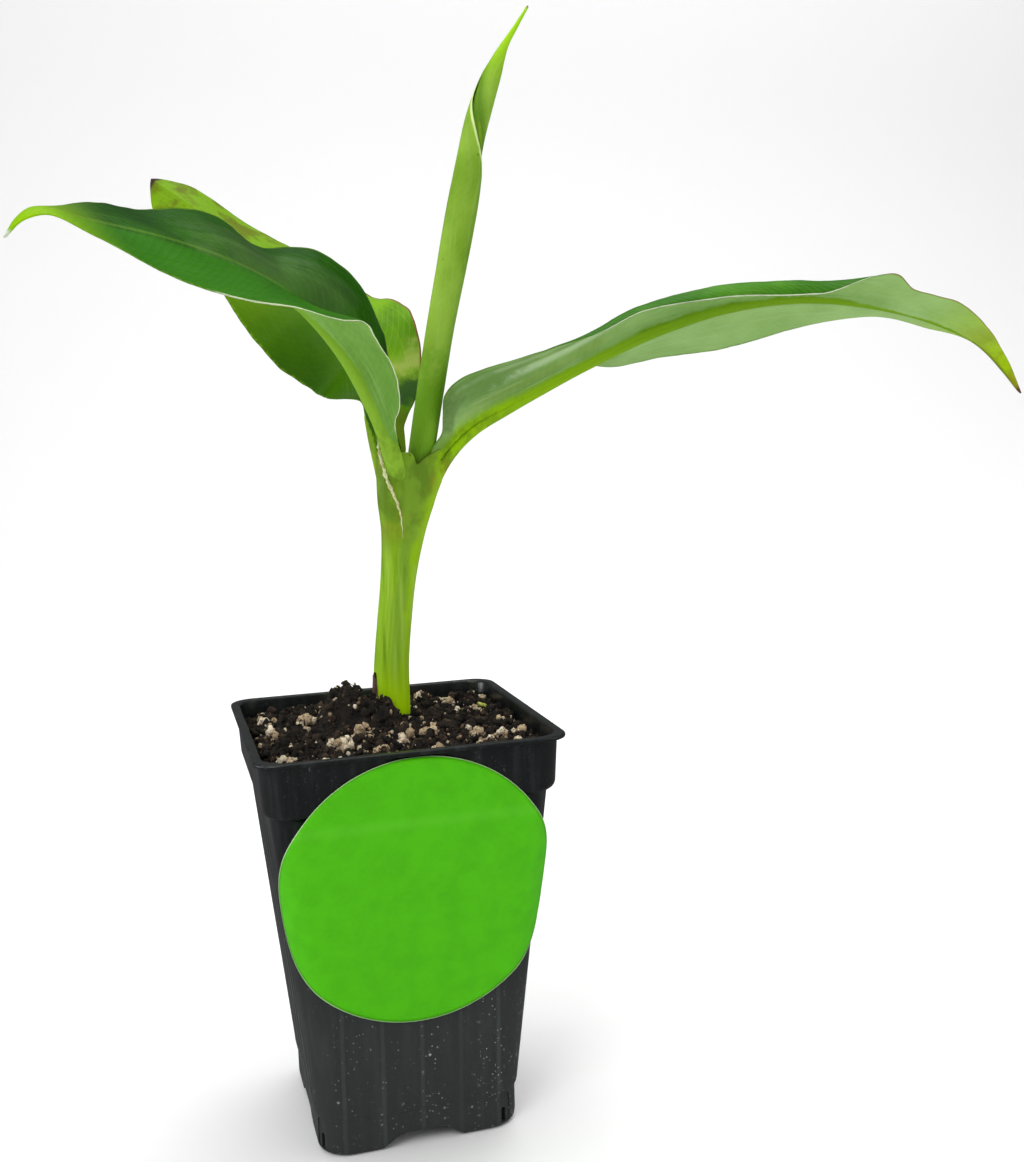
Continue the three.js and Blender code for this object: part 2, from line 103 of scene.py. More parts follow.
STICKER_RADIUS, STICKER_X, STICKER_Z = 40.0, -0.2, 80.0
STICKER_BED, STICKER_THICKNESS = 0.45, 0.35
# The steepest slope that the sheet takes where it bridges the step under the collar.
STICKER_LEAN = 0.13
# A faint painted highlight along the fold there, in metres: heights where it fades out, at its top
# and its foot.
STICKER_FOLD_HIGHLIGHT = (0.1035, 0.1015), (0.0985, 0.1005)

# The stem's level sections: (height, x, y, half-width, half-depth).
STEM = [
    (116, 2.6, 10.2, 6.4, 6.2), (124, 3.4, 10, 5.75, 5.65), (136.4, 3.9, 9.6, 5.35, 5.25),
    (149.6, 5.2, 9, 5.25, 5.2), (163.6, 6.9, 8.1, 5.45, 5.2), (176.9, 8.8, 7, 6.7, 5.6),
    (187, 10.2, 6.4, 8.9, 6.2), (192, 11.1, 6.2, 10, 6.2), (197, 12.1, 6.2, 11.1, 6.1),
    (201, 13.6, 6.4, 13.1, 6), (205, 15.2, 6.6, 15, 6),
]
# Height of its cup-like rim, by the angle from the front towards the right, in degrees.
STEM_RIM = [
    (-180, 198), (-110, 198), (-60, 202), (-30, 201.5), (-13, 201.2), (-6, 199.6), (-1, 197.9),
    (3, 198), (10, 199.6), (22, 201.6), (35, 203.2), (60, 203.5), (90, 202), (130, 200),
    (180, 198),
]
STEM_RIM_THICKNESS = 0.7
STEM_FOOT, STEM_FORK, CUP_FLOOR = 116, 187, 186
# The cup bulges at its front left: how much, towards which angle, and over how wide a one.
BULGE, BULGE_ANGLE, BULGE_SPREAD = 1.3, -34, 22
# How much of the stem's grid lies outside, from its foot to its rim; the rest lines the cup.
OUTSIDE_SHARE = 0.92
# The dried margin of the outer sheath, from its top down the stem's front.
SHEATH_EDGE = [
    (1.0, 3.4, 205.6), (1.5, 2.3, 201.6), (2.6, 1.0, 194.8), (4.9, 0.1, 188.4),
    (6.7, 0.3, 182.6), (7.1, 0.9, 178.7), (7.4, 1.3, 175),
]

# Each leaf: "line" runs along the midrib, "azimuth" is the way it leans out, and the two
# halves of the blade leave the midrib at the angle "lift" and bend on by "curl", in
# degrees, given at fractions of the line's length. "base" is the width of a half near the
# stalk. "left" and "right" are as seen from the fork.
LEAVES = {
    "front_left_leaf": {
        "nodes": ("leaf_front_left_base", "leaf_front_left_tip"),
        "azimuth": 213, "petiole": 0.19, "rise": 0.3, "taper": 3, "point": 1.6,
        "rib": (4.0, 1.0),
        "line": [
            (8.8, 6.2, 184), (7.4, 4.2, 194), (4.5, 0.1, 205), (-0.4, -3, 216),
            (-10, -10.5, 231), (-23.5, -20, 244), (-38.3, -30, 251.5), (-57.3, -43, 256.6),
            (-76.4, -54, 259.4), (-85.6, -60, 261), (-90.1, -63, 258.3), (-93.3, -65, 253.5),
        ],
        "left_base": [(0, 3.4), (0.1, 3.6), (0.13, 4), (0.15, 5.4), (0.17, 7.3), (0.19, 10.7),
                      (0.21, 14.6), (0.24, 17.6), (0.27, 18.8), (0.3, 20), (0.34, 22),
                      (0.38, 23.4)],
        "right_base": [(0, 3), (0.12, 3.4), (0.17, 5), (0.2, 8.5), (0.24, 15), (0.28, 19)],
        "left_width": 25.8,
        "left_lift": [(0, 16), (0.2, 1), (0.3, 9), (0.4, -2), (0.47, -20), (0.58, -31),
                      (0.72, -42), (0.86, -35), (1, -14)],
        "left_curl": [(0, -20), (0.21, -40), (0.35, -35), (0.47, 0), (1, 0)],
        "right_width": 20.5,
        "right_lift": [(0, 105), (0.26, 114), (0.35, 114), (0.43, 93), (0.49, 58), (0.58, 54),
                       (0.72, 32), (0.86, 30), (1, -28)],
        "right_curl": [(0, 0), (0.21, -70), (0.35, -60), (0.435, -45), (0.58, -20), (0.68, 0),
                       (1, 0)],
    },
    "back_left_leaf": {
        "nodes": ("leaf_back_left",),
        "azimuth": 112, "petiole": 0.22, "rise": 0.36, "taper": 3, "point": 0.73,
        "rib": (2.6, 0.9),
        "line": [
            (5.8, 8.8, 184), (3.1, 13.4, 203), (1.9, 20, 217.3), (-0.6, 34, 232.8),
            (-11.3, 48, 247.3), (-26, 62, 266), (-42.9, 74, 282.4), (-57.1, 82, 293.5),
        ],
        "left_base": [(0, 2.2), (0.2, 2.2), (0.235, 2.6), (0.247, 6), (0.26, 9.8), (0.28, 12.4),
                      (0.3, 13.9), (0.33, 16), (0.37, 18.6)],
        "right_base": [(0, 2.4), (0.06, 4.6), (0.1, 8.2), (0.13, 9.5), (0.16, 10.2), (0.18, 10.9),
                       (0.2, 12.6), (0.24, 16.6), (0.28, 18.4), (0.33, 21.2), (0.38, 23.6)],
        "left_width": 20.7,
        "left_lift": [(0, 70), (0.15, 30), (0.22, -20), (0.3, -55), (0.37, -70), (0.51, -24),
                      (0.71, -3), (0.85, -21), (1, -60)],
        "left_curl": [(0, 0), (1, 0)],
        "right_width": 27.5,
        "right_lift": [(0, 14), (0.22, 8), (0.3, 21), (0.37, 39), (0.51, 4), (0.71, -12),
                       (0.85, -17), (1, -1)],
        "right_curl": [(0, 0), (1, 0)],
    },
    "right_leaf": {
        "nodes": ("leaf_right_base", "leaf_right_tip"),
        "azimuth": -5, "petiole": 0.115, "rise": 0.24, "taper": 3.2, "point": 1.4,
        "rib": (4, 1.1),
        "line": [
            (13.6, 6, 184), (17.2, 5.4, 194), (22.3, 4, 202), (29.5, 2, 208.8),
            (40.5, 0, 215), (52.2, -2, 221), (63.5, -4, 226.5), (87.4, -7, 236.5),
            (111.6, -10, 243.1), (136.2, -13, 245.1), (161.4, -16, 242), (180.1, -18, 236.8),
            (193, -20, 230.5), (201.8, -21, 222.4), (208.1, -22, 213.6),
        ],
        "left_base": [(0, 3.2), (0.06, 3), (0.1, 3.2), (0.13, 6), (0.17, 10.5), (0.22, 14.5),
                      (0.28, 18)],
        "right_base": [(0, 4), (0.08, 4), (0.1, 4.8), (0.115, 9), (0.13, 14.6), (0.15, 17.8),
                       (0.17, 19.2), (0.2, 20), (0.23, 19.5), (0.26, 18.9)],
        "right_waves": [(0, 0), (0.69, 0), (0.73, 0.8), (0.77, -2.2), (0.83, 2.5), (0.9, 0.4),
                        (0.94, -0.4), (1, 0)],
        "left_width": 20.3,
        "left_lift": [(0, 76), (0.19, 37), (0.3, 3), (0.36, -19), (0.43, -26), (0.53, -35),
                      (0.64, -27), (0.76, -7), (0.86, 0), (1, 27)],
        "left_curl": [(0, 0), (1, 0)],
        "right_width": 17,
        "right_lift": [(0, 96), (0.13, 81), (0.19, 68), (0.25, 63), (0.33, 69), (0.39, 85),
                       (0.49, 81), (0.62, 65), (0.7, 52), (0.81, 21), (1, 23)],
        "right_curl": [(0, 0), (0.13, -45), (0.19, -55), (0.25, -62), (0.33, -95),
                       (0.39, -120), (0.49, -140), (0.63, -130), (0.7, -60), (0.76, 0), (1, 0)],
    },
}

ROLL_LINE = [
    (11.4, 7.4, 184), (14.6, 6.4, 199.8), (18.1, 6, 218.4), (22, 6, 237.9), (26.5, 6, 257.5),
    (30.9, 6, 277), (35, 6, 295.2), (38.4, 6, 305.6), (41.4, 6, 313.4), (45, 6, 320.7),
    (48.9, 6, 326.6), (52.9, 6, 332.7),
]
ROLL_RADIUS = [
    (0, 3), (0.1, 4.05), (0.23, 4.25), (0.36, 4.35), (0.45, 4.6), (0.53, 4.8), (0.6, 4.75),
    (0.65, 4.4), (0.7, 3.95), (0.76, 3.75), (0.81, 3.35), (0.85, 2.9), (0.885, 1.9),
    (0.915, 1.15), (0.95, 0.75), (1, 0.35),
]
ROLL_SEAM = [(0, 400), (0.5, 376), (0.6, 362), (0.65, 350), (0.725, 270), (0.8, 185),
             (0.86, 150), (1, 120)]
ROLL_TURNS = 1.7
ROLL_OVERLAP = 0.22
ROLL_THICKNESS = 0.4

HUSK_LOW, HUSK_HIGH, HUSK_SPREAD, HUSK_FACING = 122.0, 134.0, 26.0, 196.0

# The camera: its place, and its azimuth, pitch and roll in degrees.
CAMERA_PLACE, CAMERA_TURN = (-69.19, -372.97, 210.68), (-16.42, 7.35, -1.71)
# The lamps, in metres: (name, place, point aimed at, size, power in watts).
LIGHTS = [
    ("key", (-0.75, -0.85, 1.15), (0, 0, 0.15), 0.7, 8.6),
    ("fill", (1.1, -1.0, 0.7), (0, 0, 0.15), 1.0, 3.0),
    ("top", (0.1, 0.35, 1.5), (0, 0, 0.15), 0.9, 6.0),
    ("wash", (1.0, 1.0, 2.6), (1.1, 1.9, 0.5), 3.4, 62.0),
    ("edge", (-1.1, 0.1, 0.3), (0, 0, 0.15), 0.4, 3.0),
]


# ---------------------------------------------------------------- shape helpers

def keyed(stations, at):
    """A smooth value between stations (at, value)."""
    last = len(stations) - 1
    at = min(max(at, stations[0][0]), stations[last][0])
    i = 0
    while i < last - 1 and at >= stations[i + 1][0]:
        i += 1

    def slope(k):
        a, b = stations[max(k - 1, 0)], stations[min(k + 1, last)]
        return (b[1] - a[1]) / (b[0] - a[0])

    span = stations[i + 1][0] - stations[i][0]
    u = (at - stations[i][0]) / span
    low, high = stations[i][1], stations[i + 1][1]
    bend = u * (1 - u) * span
    return low + (high - low) * u * u * (3 - 2 * u) + bend * (
        (1 - u) * slope(i) - u * slope(i + 1)
    )


class Line:
    """A smooth line through points, read by its own length, with a leaf's frame on it."""

    STEPS = 40

    def __init__(self, points, azimuth=0.0):
        points = [Vector(p) for p in points]
        whole = [2 * points[0] - points[1], *points, 2 * points[-1] - points[-2]]
        self.dots = []
        for i in range(len(points) - 1):
            four = whole[i:i + 4]
            self.dots += [self._between(four, k / self.STEPS) for k in range(self.STEPS)]
        self.dots.append(points[-1])
        self.lengths = [0.0]
        for a, b in zip(self.dots, self.dots[1:]):
            self.lengths.append(self.lengths[-1] + (b - a).length)
        self.length = self.lengths[-1]
        turn = math.radians(azimuth)
        self.across = Vector((-math.sin(turn), math.cos(turn), 0))

    @staticmethod
    def _between(four, u):
        """A centripetal Catmull-Rom point between the second and third of four points."""
        p0, p1, p2, p3 = four
        d0, d1, d2 = ((b - a).length ** 0.5 for a, b in zip(four, four[1:]))
        m1 = ((p1 - p0) / d0 - (p2 - p0) / (d0 + d1) + (p2 - p1) / d1) * d1
        m2 = ((p2 - p1) / d1 - (p3 - p1) / (d1 + d2) + (p3 - p2) / d2) * d1
        a = 2 * u ** 3 - 3 * u * u + 1
        b = u ** 3 - 2 * u * u + u
        c = -2 * u ** 3 + 3 * u * u
        d = u ** 3 - u * u
        return p1 * a + m1 * b + p2 * c + m2 * d

    def point(self, t):
        """The point at the fraction t of the line's length."""
        reach = min(max(t, 0.0), 1.0) * self.length
        low, high = 0, len(self.lengths) - 1
        while high - low > 1:
            middle = (low + high) // 2
            if self.lengths[middle] <= reach:
                low = middle
            else:
                high = middle
        share = (reach - self.lengths[low]) / (self.lengths[high] - self.lengths[low])
        return self.dots[low].lerp(self.dots[high], share)

    def at(self, t):
        """(point, side, up) at the fraction t."""
        step = 0.004
        along = (self.point(min(t + step, 1)) - self.point(max(t - step, 0))).normalized()
        side = (self.across - along * self.across.dot(along)).normalized()
        return self.point(t), side, along.cross(side)


def add_object(name, data):
    """An object for a mesh, a light or a camera, linked to the scene."""
    made = bpy.data.objects.new(name, data)
    bpy.context.scene.collection.objects.link(made)
    return made


def mesh_of(name, bm):
    """A mesh made from a bmesh, which is used up."""
    mesh = bpy.data.meshes.new(name)
    bm.to_mesh(mesh)
    bm.free()
    return mesh


def to_metres(bm):
    """Scales a bmesh from millimetres to metres."""
    bmesh.ops.transform(bm, matrix=Matrix.Scale(MM, 4), verts=bm.verts)


def smoothed(bm):
    """Shades all the faces of a bmesh smoothly."""
    for face in bm.faces:
        face.smooth = True


def open_edges(bm):
    """The edges that have a face on one side only."""
    return [edge for edge in bm.edges if edge.is_boundary]


def as_piece(name, mesh, material, replaced=()):
    """Makes a mesh in metres a piece of the object, riding on its one body."""
    piece = add_object(name, mesh)
    mesh.materials.append(material)
    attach(piece, "root")
    if replaced:
        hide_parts(*replaced)
    return piece


def new_piece(name, bm, material, replaced=()):
    """Makes a bmesh in millimetres a piece, with its open ends closed."""
    bmesh.ops.holes_fill(bm, edges=open_edges(bm), sides=0)
    to_metres(bm)
    bmesh.ops.recalc_face_normals(bm, faces=bm.faces)
    smoothed(bm)
    return as_piece(name, mesh_of(name, bm), material, replaced)


def wrapped_grid(cells, place, marks=()):
    """A grid whose corners go to place(a, b), a along and b around, each from 0 to 1.

    place gives the point and the values of the marks there. Corners that meet are merged,
    so that the grid closes round b and over any end that shrinks to a point.
    """
    bm = bmesh.new()
    bmesh.ops.create_grid(bm, x_segments=cells[0], y_segments=cells[1], size=0.5)
    layers = [bm.verts.layers.float.new(mark) for mark in marks]
    for vert in bm.verts:
        spot, values = place(vert.co.x + 0.5, vert.co.y + 0.5)
        vert.co = spot
        for layer, value in zip(layers, values):
            vert[layer] = value
    bmesh.ops.remove_doubles(bm, verts=bm.verts, dist=1e-4)
    bmesh.ops.dissolve_degenerate(bm, edges=bm.edges, dist=1e-5)
    return bm


def added(bm, other):
    """Puts another bmesh into bm."""
    mesh = mesh_of("part", other)
    bm.from_mesh(mesh)
    bpy.data.meshes.remove(mesh)
    return bm


# ---------------------------------------------------------------- material helpers

def srgb(red, green, blue):
    """A screen colour, 0 to 255, as linear values."""
    def linear(value):
        value /= 255
        return value / 12.92 if value <= 0.04045 else ((value + 0.055) / 1.055) ** 2.4

    return (linear(red), linear(green), linear(blue))


def feed(tree, node, sockets):
    """Gives a node's sockets their values, or links them to other nodes' outputs."""
    for name, value in sockets.items():
        socket = node.inputs[name]
        if isinstance(value, bpy.types.NodeSocket):
            tree.links.new(value, socket)
        elif socket.type == "RGBA" and len(value) == 3:
            socket.default_value = (*value, 1.0)
        else:
            socket.default_value = value
    return node


def put(tree, kind, sockets=None, **settings):
    """Adds a shader node, sets it up and feeds its sockets."""
    node = tree.nodes.new("ShaderNode" + kind)
    for name, value in settings.items():
        setattr(node, name, value)
    return feed(tree, node, sockets or {})


def calc(tree, operation, a, b=0.0):
    """The result of a Math node."""
    return put(tree, "Math", {0: a, 1: b}, operation=operation).outputs[0]


def times(tree, a, b):
    """a times b."""
    return calc(tree, "MULTIPLY", a, b)


def plus(tree, a, b):
    """a plus b."""
    return calc(tree, "ADD", a, b)


def ranged(tree, value, low, high, to_low=0.0, to_high=1.0):
    """value eased from the range low..high to the range to_low..to_high."""
    sockets = {
        "Value": value, "From Min": low, "From Max": high, "To Min": to_low, "To Max": to_high,
    }
    return put(tree, "MapRange", sockets, interpolation_type="SMOOTHSTEP").outputs[0]


def mixed(tree, share, first, second):
    """The first colour, with a share of the second over it."""
    sockets = {0: share, 6: first, 7: second}
    return put(tree, "Mix", sockets, data_type="RGBA", clamp_factor=True).outputs[2]


def dabbed(tree, base, mask, share, colour):
    """The base with a colour over it where the mask is 1, as strong as share says."""
    return mixed(tree, times(tree, mask, share), base, colour)


def mark(tree, name):
    """A mark kept on the mesh's corners."""
    return put(tree, "Attribute", attribute_name=name).outputs["Fac"]


def spots(tree):
    """Where the surface is, in the object's own metres."""
    return put(tree, "TexCoord").outputs["Object"]


def grain(tree, vector, scale, detail=3.0, roughness=0.55):
    """Cloudy noise from 0 to 1, about 0.5 on average."""
    sockets = {"Vector": vector, "Scale": scale, "Detail": detail, "Roughness": roughness}
    return put(tree, "TexNoise", sockets).outputs[0]


def stretched(tree, vector, scale):
    """Places scaled by a number for each axis."""
    return put(tree, "Mapping", {"Vector": vector, "Scale": scale}).outputs[0]


def new_group(name, inputs, outputs):
    """An empty node group with named float inputs and outputs."""
    group = bpy.data.node_groups.new(name, "ShaderNodeTree")
    for title, value in inputs.items():
        socket = group.interface.new_socket(title, in_out="INPUT", socket_type="NodeSocketFloat")
        socket.default_value = value
    for title in outputs:
        group.interface.new_socket(title, in_out="OUTPUT", socket_type="NodeSocketFloat")
    entry = group.nodes.new("NodeGroupInput")
    leave = group.nodes.new("NodeGroupOutput")
    return group, entry, leave


def use_group(tree, group, sockets):
    """Places a node group in a tree with its own values."""
    return put(tree, "Group", sockets, node_tree=group)


def new_material(name):
    """A material and its node tree."""
    material = bpy.data.materials.new(name)
    material.use_nodes = True
    return material, material.node_tree


def finish(tree, colour, roughness, height=None, depth=0.0003, shine=0.5):
    """Feeds the material's own shader."""
    sockets = {"Base Color": colour, "Roughness": roughness, "Specular IOR Level": shine}
    if height is not None:
        bump = put(tree, "Bump", {"Strength": 1.0, "Distance": depth, "Height": height})
        sockets["Normal"] = bump.outputs[0]
    feed(tree, tree.nodes["Principled BSDF"], sockets)


def built_once(build):
    """Lets a node group be asked for by every material, and built by the first."""
    def get():
        return bpy.data.node_groups.get(build.__name__) or build(build.__name__)

    return get


@built_once
def specks(name):
    """Small scattered specks: 1 on a speck and 0 beside it."""
    group, entry, leave = new_group(name, {"Scale": 400.0, "Share": 0.1, "Size": 0.25}, ["Mask"])
    scale, share, size = (entry.outputs[title] for title in ("Scale", "Share", "Size"))
    cells = put(group, "TexVoronoi", {"Vector": spots(group), "Scale": scale}).outputs
    chance = put(group, "SeparateColor", {0: cells["Color"]}).outputs[0]
    near = ranged(group, cells["Distance"], size, 0.0)
    mask = times(group, calc(group, "LESS_THAN", chance, share), near)
    group.links.new(mask, leave.inputs["Mask"])
    return group


def specked(tree, scale, share, size):
    """A mask of specks: how finely they lie, how many of them there are, and how big they are."""
    return use_group(tree, specks(), {"Scale": scale, "Share": share, "Size": size}).outputs[0]


@built_once
def side_veins(name):
    """Side veins that leave the midrib at a slant and bend towards the tip."""
    inputs = {"Along": 0.0, "From rib": 0.0, "Spacing": 4.0, "Slant": 0.5, "Bend": 0.02}
    group, entry, leave = new_group(name, inputs, ["Height", "Line"])
    along, from_rib, spacing, slant, bend = (entry.outputs[title] for title in inputs)
    bent = times(group, times(group, from_rib, from_rib), bend)
    run = calc(group, "SUBTRACT", along, times(group, from_rib, slant))
    run = calc(group, "SUBTRACT", run, bent)
    run = plus(group, run, times(group, grain(group, spots(group), 60.0, 2.0), 1.6))
    phase = times(group, calc(group, "DIVIDE", run, spacing), 2 * math.pi)
    wide = calc(group, "SINE", phase)
    fine = calc(group, "SINE", times(group, phase, 5.0))
    height = plus(group, times(group, wide, 0.6), times(group, fine, 0.25))
    line = times(group, ranged(group, wide, 0.55, 1.0), 0.6)
    line = plus(group, line, times(group, ranged(group, fine, 0.2, 1.0), 0.4))
    group.links.new(height, leave.inputs["Height"])
    group.links.new(line, leave.inputs["Line"])
    return group


# ---------------------------------------------------------------- pot

def square_point(b, half, corner, flat_cells, corner_cells):
    """(x, y, face number, distance along the face) at the share b of the way round."""
    per_side = flat_cells + corner_cells
    k = round(b * 4 * per_side) % (4 * per_side)
    side, i = divmod(k, per_side)
    flat = half - corner
    if i <= flat_cells:
        run = (i / flat_cells * 2 - 1) * flat
        x, y = half, run
    else:
        turn = (i - flat_cells) / corner_cells * math.pi / 2
        x, y = flat + corner * math.cos(turn), flat + corner * math.sin(turn)
        run = None
    spin = side * math.pi / 2
    return (
        x * math.cos(spin) - y * math.sin(spin),
        x * math.sin(spin) + y * math.cos(spin),
        side,
        run,
    )


def wall_half(z):
    """Half-width of the pot's outer wall at a height."""
    if z >= COLLAR_FOOT:
        share = (z - COLLAR_FOOT) / (POT_HEIGHT - COLLAR_FOOT)
        return COLLAR_BOTTOM + (COLLAR_TOP - COLLAR_BOTTOM) * share
    if z >= BODY_TOP:
        share = (z - BODY_TOP) / STEP_HEIGHT
        return BODY_TOP_HALF + (COLLAR_BOTTOM - BODY_TOP_HALF) * math.sqrt(1 - (1 - share) ** 2)
    share = (z - FOOT_HEIGHT) / (BODY_TOP - FOOT_HEIGHT)
    return BODY_FOOT_HALF + (BODY_TOP_HALF - BODY_FOOT_HALF) * share


def rounded(levels, end, steps, bulge):
    """Adds levels (half, corner, z) that turn a quarter circle from the last one to end."""
    start = levels[-1]
    for k in range(1, steps + 1):
        turn = k / steps * math.pi / 2
        if bulge == "out":
            share_half, share_z = math.sin(turn), 1 - math.cos(turn)
        else:
            share_half, share_z = 1 - math.cos(turn), math.sin(turn)
        levels.append(tuple(
            a + (b - a) * share
            for a, b, share in zip(start, end, (share_half, share_half, share_z))
        ))


def pot_levels():
    """(half-width, corner radius, height) up the outside, over the lip and down inside."""
    lip_foot = POT_HEIGHT - LIP_HEIGHT
    levels = [(FOOT_HALF - 1.8, FOOT_CORNER - 0.6, 0)]
    rounded(levels, (FOOT_HALF, FOOT_CORNER, 1.8), 5, "out")
    levels += [(FOOT_HALF + 0.1, FOOT_CORNER, z) for z in (3, 4, 6, 8, 9.5)]
    levels += [
        (FOOT_HALF + 0.25, FOOT_CORNER, FOOT_HEIGHT - 1.1),
        (FOOT_HALF + 0.45, BODY_CORNER, FOOT_HEIGHT - 0.5),
        (BODY_FOOT_HALF - 0.05, BODY_CORNER, FOOT_HEIGHT - 0.1),
        (BODY_FOOT_HALF + 0.05, BODY_CORNER, FOOT_HEIGHT + 0.5),
    ]
    steps = 24
    for k in range(1, steps + 1):
        z = FOOT_HEIGHT + 0.5 + (BODY_TOP - 0.7 - FOOT_HEIGHT - 0.5) * k / steps
        levels.append((wall_half(z), BODY_CORNER, z))
    levels.append((BODY_TOP_HALF + 0.15, BODY_CORNER, BODY_TOP - 0.15))
    for k in range(1, 8):
        z = BODY_TOP + STEP_HEIGHT * (k / 7) ** 2
        levels.append((wall_half(z), COLLAR_CORNER, z))
    for k in range(1, 7):
        z = COLLAR_FOOT + (lip_foot - 0.4 - COLLAR_FOOT) * k / 6
        levels.append((wall_half(z), COLLAR_CORNER, z))
    rounded(levels, (COLLAR_TOP + 0.5, COLLAR_CORNER, lip_foot), 3, "in")
    levels.append((LIP_HALF - 0.35, LIP_CORNER, lip_foot + 0.05))
    rounded(levels, (LIP_HALF, LIP_CORNER, lip_foot + 0.4), 3, "out")
    levels.append((LIP_HALF, LIP_CORNER, POT_HEIGHT - 0.5))
    rounded(levels, (LIP_HALF - 0.5, LIP_CORNER, POT_HEIGHT), 4, "in")
    inner = COLLAR_TOP - POT_WALL
    levels.append((inner + 0.6, COLLAR_CORNER - POT_WALL, POT_HEIGHT))
    rounded(levels, (inner, COLLAR_CORNER - POT_WALL, POT_HEIGHT - 0.7), 3, "out")
    for z in (POT_HEIGHT - 4, COLLAR_FOOT, BODY_TOP - 0.5, FOOT_HEIGHT):
        levels.append((wall_half(z) - POT_WALL, BODY_CORNER - POT_WALL, z))
    floor_half = FOOT_HALF - POT_WALL
    levels.append((floor_half, BODY_CORNER - POT_WALL, FLOOR_UNDERSIDE + FLOOR_THICKNESS))
    return levels


def flute_depth(face, run, z):
    """How far the wall is pressed in by the upright flutes, at a place on a face."""
    if run is None:
        return 0.0
    pot = bpy.context.scene.plant_pot
    depth = pot.flute_depth if face == 3 else pot.side_flute_depth
    fade = min(max((z - FOOT_HEIGHT - 1) / 6, 0), 1) * min(max((BODY_TOP - 6 - z) / 10, 0), 1)
    groove = 0.0
    for k in range(-2, 3):
        groove += math.exp(-(((run - k * pot.flute_spacing) / 1.1) ** 2))
    return depth * groove * fade


def pot_shell():
    """The pot's wall and floor as one closed shell, without its channels."""
    levels = pot_levels()
    flat_cells, corner_cells = 44, 10
    last = len(levels) + 1

    def place(a, b):
        row = round(a * last)
        if row in (0, last):
            z = levels[0][2] if row == 0 else levels[-1][2]
            return Vector((0, 0, z)), ()
        half, corner, z = levels[row - 1]
        x, y, face, run = square_point(b, half, corner, flat_cells, corner_cells)
        outside = row - 1 < len(levels) - INSIDE_LEVELS
        pressed = flute_depth(face, run, z) if outside else 0.0
        shrink = 1 - pressed / half
        return Vector((x * shrink, y * shrink, z)), ()

    return wrapped_grid((last, 4 * (flat_cells + corner_cells)), place)


def arch_outline():
    """The arch between two feet, as (across, height) from its left foot to its right."""
    steps = 12
    crown = []
    for k in range(steps + 1):
        across = ARCH_FOOT + (ARCH_CROWN - ARCH_FOOT) * k / steps
        crown.append((across, FLOOR_UNDERSIDE * 0.5 * (1 - math.cos(math.pi * k / steps))))
    return [(-ARCH_FOOT, -1), *[(-x, z) for x, z in crown], *reversed(crown), (ARCH_FOOT, -1)]


def drain_outline(width, crown):
    """An arched recess, as (across, height) all round."""
    r = width / 2
    arc = [
        (r * math.cos(k / 12 * math.pi), crown - r + r * math.sin(k / 12 * math.pi))
        for k in range(13)
    ]
    return [(-r, DRAIN_FOOT), (r, DRAIN_FOOT), *arc]


def prism(outline, near, far):
    """A straight bar of the outline (x, z), from y = near to y = far."""
    bm = bmesh.new()
    bmesh.ops.create_circle(bm, cap_ends=True, segments=len(outline), radius=1)
    bm.faces.ensure_lookup_table()
    for vert, (x, z) in zip(bm.faces[0].verts[:], outline):
        vert.co = (x, near, z)
    made = bmesh.ops.extrude_face_region(bm, geom=bm.faces[:])
    moved = [part for part in made["geom"] if isinstance(part, bmesh.types.BMVert)]
    bmesh.ops.translate(bm, vec=(0, far - near, 0), verts=moved)
    bmesh.ops.recalc_face_normals(bm, faces=bm.faces)
    return bm


def cutter_object(name, bm, turn=0.0):
    """A bmesh in millimetres as an object to cut with, turned about the upright axis."""
    bmesh.ops.rotate(bm, cent=(0, 0, 0), matrix=Matrix.Rotation(turn, 3, "Z"), verts=bm.verts)
    to_metres(bm)
    return add_object(name, mesh_of(name, bm))


def cut(piece, cutters, operation="DIFFERENCE"):
    """Cuts or joins objects into a piece, and removes them."""
    for cutter in cutters:
        step = piece.modifiers.new("cut", "BOOLEAN")
        step.operation = operation
        step.object = cutter
        step.solver = "EXACT"
    bpy.context.view_layer.update()
    done = bpy.data.meshes.new_from_object(
        piece.evaluated_get(bpy.context.evaluated_depsgraph_get())
    )
    piece.modifiers.clear()
    piece.data = done
    for cutter in cutters:
        bpy.data.objects.remove(cutter)


def flute_ridges(tree, side, columns):
    """A mask of the ridges between the flutes, worn unevenly and painted lighter as a highlight
    along their edges.
    """
    turn = times(tree, side, 2 * math.pi / (bpy.context.scene.plant_pot.flute_spacing * MM))
    ridge = ranged(tree, calc(tree, "COSINE", turn), 0.9, 1.0)
    ridge = times(tree, ridge, ranged(tree, calc(tree, "ABSOLUTE", side), 0.029, 0.027))
    return times(tree, ridge, ranged(tree, columns, 0.3, 0.7, 0.2, 0.6))


def channel_cutters():
    """The two bars that leave an arch under each side of the pot."""
    outline = arch_outline()
    return [
        cutter_object("arch", prism(outline, -2 * LIP_HALF, 2 * LIP_HALF), k * math.pi / 2)
        for k in range(2)
    ]


def drain_cutters():
    """The shallow recess on each foot's corner, and the slit at its foot."""
    cutters = []
    corner = FOOT_HALF - FOOT_CORNER
    aim = Matrix.Rotation(-math.pi / 4 - math.radians(DRAIN_TURN), 3, "Z")
    recesses = (DRAIN_WIDTH, DRAIN_CROWN, DRAIN_DEPTH), (DRAIN_SLIT, FLOOR_UNDERSIDE + 1.5, 2.0)
    for k in range(4):
        for width, crown, depth in recesses:
            recess = prism(drain_outline(width, crown), FOOT_CORNER - depth, FOOT_CORNER + 6)
            bmesh.ops.rotate(recess, cent=(0, 0, 0), matrix=aim, verts=recess.verts)
            bmesh.ops.translate(recess, vec=(corner, corner, 0), verts=recess.verts)
            cutters.append(cutter_object("drain", recess, k * math.pi / 2))
    return cutters


